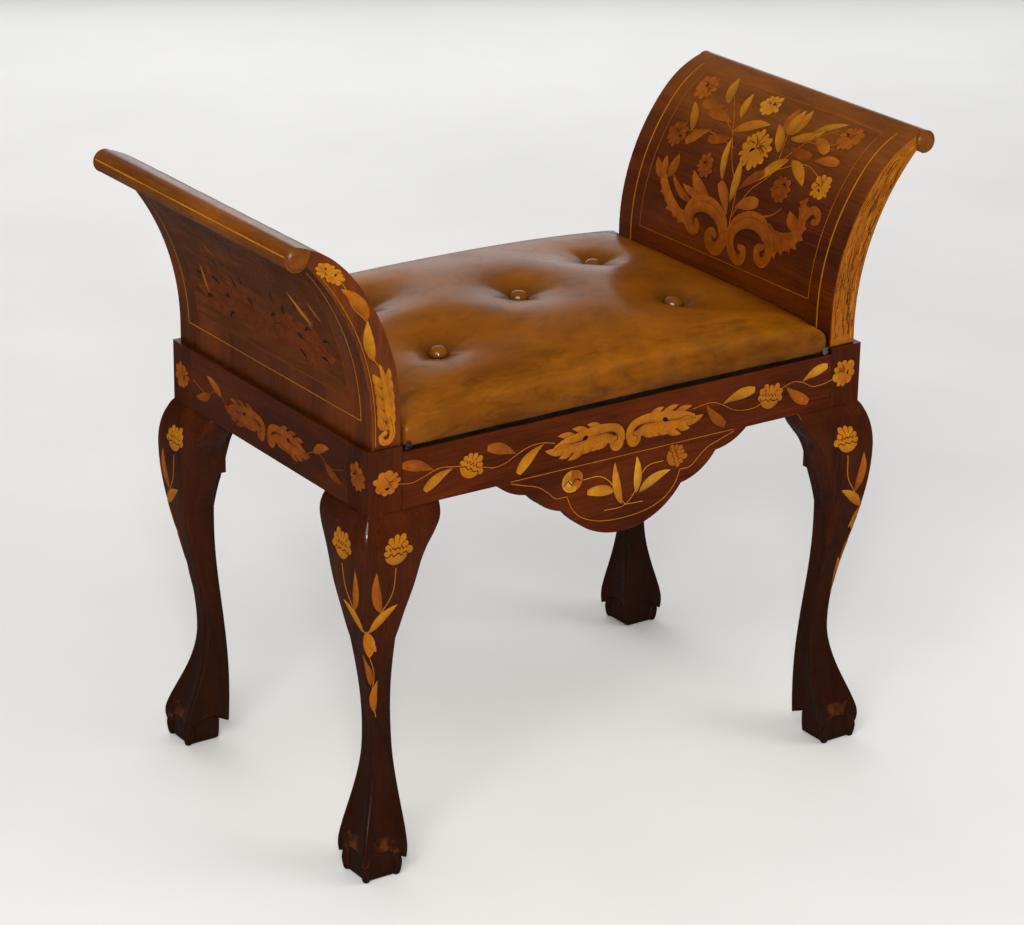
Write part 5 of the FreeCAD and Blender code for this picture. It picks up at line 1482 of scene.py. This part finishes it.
# the right-hand panel's front edge is faced with a golden burr
def burrDrawing():
    rows = [[(u, v) for u in (-14, -5, 5, 14)] for v in np.linspace(1, 216, 64)]
    drawn = patch(rows, 0.66, np.full((64, 4), 0.34))
    for n in range(170):
        u, v = chance.uniform(-12, 12), chance.uniform(3, 192)
        climb = chance.uniform(3, 8)
        streak = [(max(-13, min(13, u + chance.uniform(-1.2, 1.2))), v + climb * step) for step in range(4)]
        drawn += ribbon(streak, chance.uniform(0.4, 1.5), chance.choice((0.1, 0.2, 0.3, 0.4, 0.82)), 0.6)
    return drawn + flower((0, 196), 9, 0.6, 8) + leaf((1, 203), (4, 214), 5, 0.1, 0.82)


def crestLine(sign):  # along the outer side of a crest's roll
    def placing(u, v, h):
        s, reach = armShape, armShape["roll"] + h
        turn = math.radians(s["stringTurn"] + math.degrees(v / s["roll"]))
        return sign * (s["rollX"] + reach * math.cos(turn)), u, s["rollZ"] + reach * math.sin(turn)
    return placing


def makeMarquetry():
    rail, apron, shortRail = railDrawing(), apronDrawing(), sideDrawing()
    front = rail + apron + postDrawing(261, 14.5, 0.66)
    for end, sign in endSigns:
        layVeneer("inlay_" + end, front, onLong(sign), "rail_mahogany")
    shortSide = shortRail + postDrawing(160, 14, 0.46)
    for side, sign in sideSigns:
        layVeneer("inlay_" + side, shortSide, onShort(sign), "rail_mahogany")
    knee, bouquet, scrolls = kneeDrawing(), bouquetDrawing(), scrollDrawing()
    field, edge = fieldDrawing(), edgeDrawing()
    string = ribbon(((-172, 0), (0, 0), (172, 0)), 1.5, 0.76)
    for side, sign in sideSigns:
        for end, endSign in endSigns:
            corner = "%s_%s" % (end, side)
            layVeneer("inlay_knee_" + corner, knee, onKnee(sign, endSign), "leg_mahogany")
            drawing = burrDrawing() if sign > 0 and endSign < 0 else edge
            layVeneer("inlay_edge_" + corner, drawing, onArmEdge(sign, endSign), "panel_walnut")
        within, outside = onArmFace(sign, innerProfile, 1, -sign), onArmFace(sign, outerProfile, -1, sign)
        layVeneer("inlay_bouquet_" + side, bouquet, within, "panel_walnut")
        layVeneer("veneer_field_" + side, field, outside, "panel_walnut", burrWalnut, 0.03)
        layVeneer("inlay_scrolls_" + side, scrolls, outside, "panel_walnut")
        layVeneer("inlay_crest_" + side, string, crestLine(sign), "crest_mahogany")


makeMarquetry()
print("marquetry laid")


# floor, light and camera
def makeStage():
    floorMaterial, tree, shader = newMaterial("pale floor", {"Roughness": 0.75})
    coords = objectCoords(tree)
    tone = spread(tree, noise(tree, coords, 2.2, 5.0), 0.3, 0.7)
    pale = mixColour(tree, tone, tint(236, 235, 233), tint(243, 242, 240))
    mirrors = put(tree, "LightPath").outputs["Is Glossy Ray"]
    tree.links.new(mixColour(tree, mirrors, pale, tint(76, 75, 73)), shader.inputs["Base Color"])
    mesh = bpy.data.meshes.new("floor")
    reach = 30.0
    plan = [(-reach, -reach, 0), (reach, -reach, 0), (reach, reach, 0), (-reach, reach, 0)]
    mesh.from_pydata(plan, [], [(0, 1, 2, 3)])
    mesh.materials.append(floorMaterial)
    floor = bpy.data.objects.new("floor", mesh)
    floor.location.z = -0.0002
    bpy.context.scene.collection.objects.link(floor)
    world = bpy.data.worlds.new("studio")
    world.use_nodes = True
    bpy.context.scene.world = world
    sky = world.node_tree
    back = sky.nodes["Background"]
    rays = put(sky, "LightPath").outputs
    dim = mixColour(sky, rays["Is Glossy Ray"], (0.50, 0.50, 0.50, 1.0), (0.03, 0.03, 0.03, 1.0))
    sky.links.new(mixColour(sky, rays["Is Camera Ray"], dim, (1.0, 1.0, 1.0, 1.0)), back.inputs["Color"])


warm, mild, cool = (1.0, 0.98, 0.95), (1.0, 0.99, 0.97), (0.98, 0.99, 1.0)
lampPlaces = {
    "window_light": dict(spot=(-1.9, -1.7, 2.3), power=42, size=(1.5, 1.5), colour=warm, mirrored=True),
    "room_light": dict(spot=(1.9, -1.9, 2.0), power=22, size=(1.6, 1.6), colour=mild, mirrored=False),
    "wall_light": dict(spot=(1.5, 2.6, 0.9), power=13, size=(3.4, 1.5), colour=cool, mirrored=True),
    "back_light": dict(spot=(0.2, 2.4, 2.4), power=14, size=(1.6, 1.6), colour=cool, mirrored=False),
    "camera_light": dict(spot=(-1.55, -2.3, 1.7), power=22, size=(0.3, 0.3), colour=warm, mirrored=True),
}
lampAim = Vector((0, 0, 0.36))


def makeLamps():
    for name, lamp in lampPlaces.items():
        light = bpy.data.lights.new(name, "AREA")
        light.shape, light.energy, light.color = "RECTANGLE", lamp["power"], lamp["colour"]
        light.size, light.size_y = lamp["size"]
        item = bpy.data.objects.new(name, light)
        item.location = lamp["spot"]
        item.rotation_euler = (lampAim - item.location).to_track_quat("-Z", "Y").to_euler()
        item.visible_glossy = lamp["mirrored"]
        bpy.context.scene.collection.objects.link(item)


cameraView = dict(azimuth=-34.44, elevation=21.56, roll=0.92, lens=117.97, distance=3.2811, aim=(0, 0, 0.3),
                  slideRight=-0.0041, slideUp=-0.0050)


def makeCamera():
    c = cameraView
    a, e, r = (math.radians(c[key]) for key in ("azimuth", "elevation", "roll"))
    back = Vector((math.sin(a) * math.cos(e), -math.cos(a) * math.cos(e), math.sin(e)))
    level = Vector((math.cos(a), math.sin(a), 0))
    upright = back.cross(level)
    right = math.cos(r) * level + math.sin(r) * upright
    up = math.cos(r) * upright - math.sin(r) * level
    spot = Vector(c["aim"]) + back * c["distance"] + right * c["slideRight"] + up * c["slideUp"]
    data = bpy.data.cameras.new("camera")
    data.lens, data.sensor_width = c["lens"], 36
    camera = bpy.data.objects.new("camera", data)
    camera.matrix_world = Matrix.Translation(spot) @ Matrix((right, up, back)).transposed().to_4x4()
    bpy.context.scene.collection.objects.link(camera)
    bpy.context.scene.camera = camera


makeStage()
makeLamps()
makeCamera()
bpy.context.scene.view_settings.view_transform = "Standard"
print("scene ready")
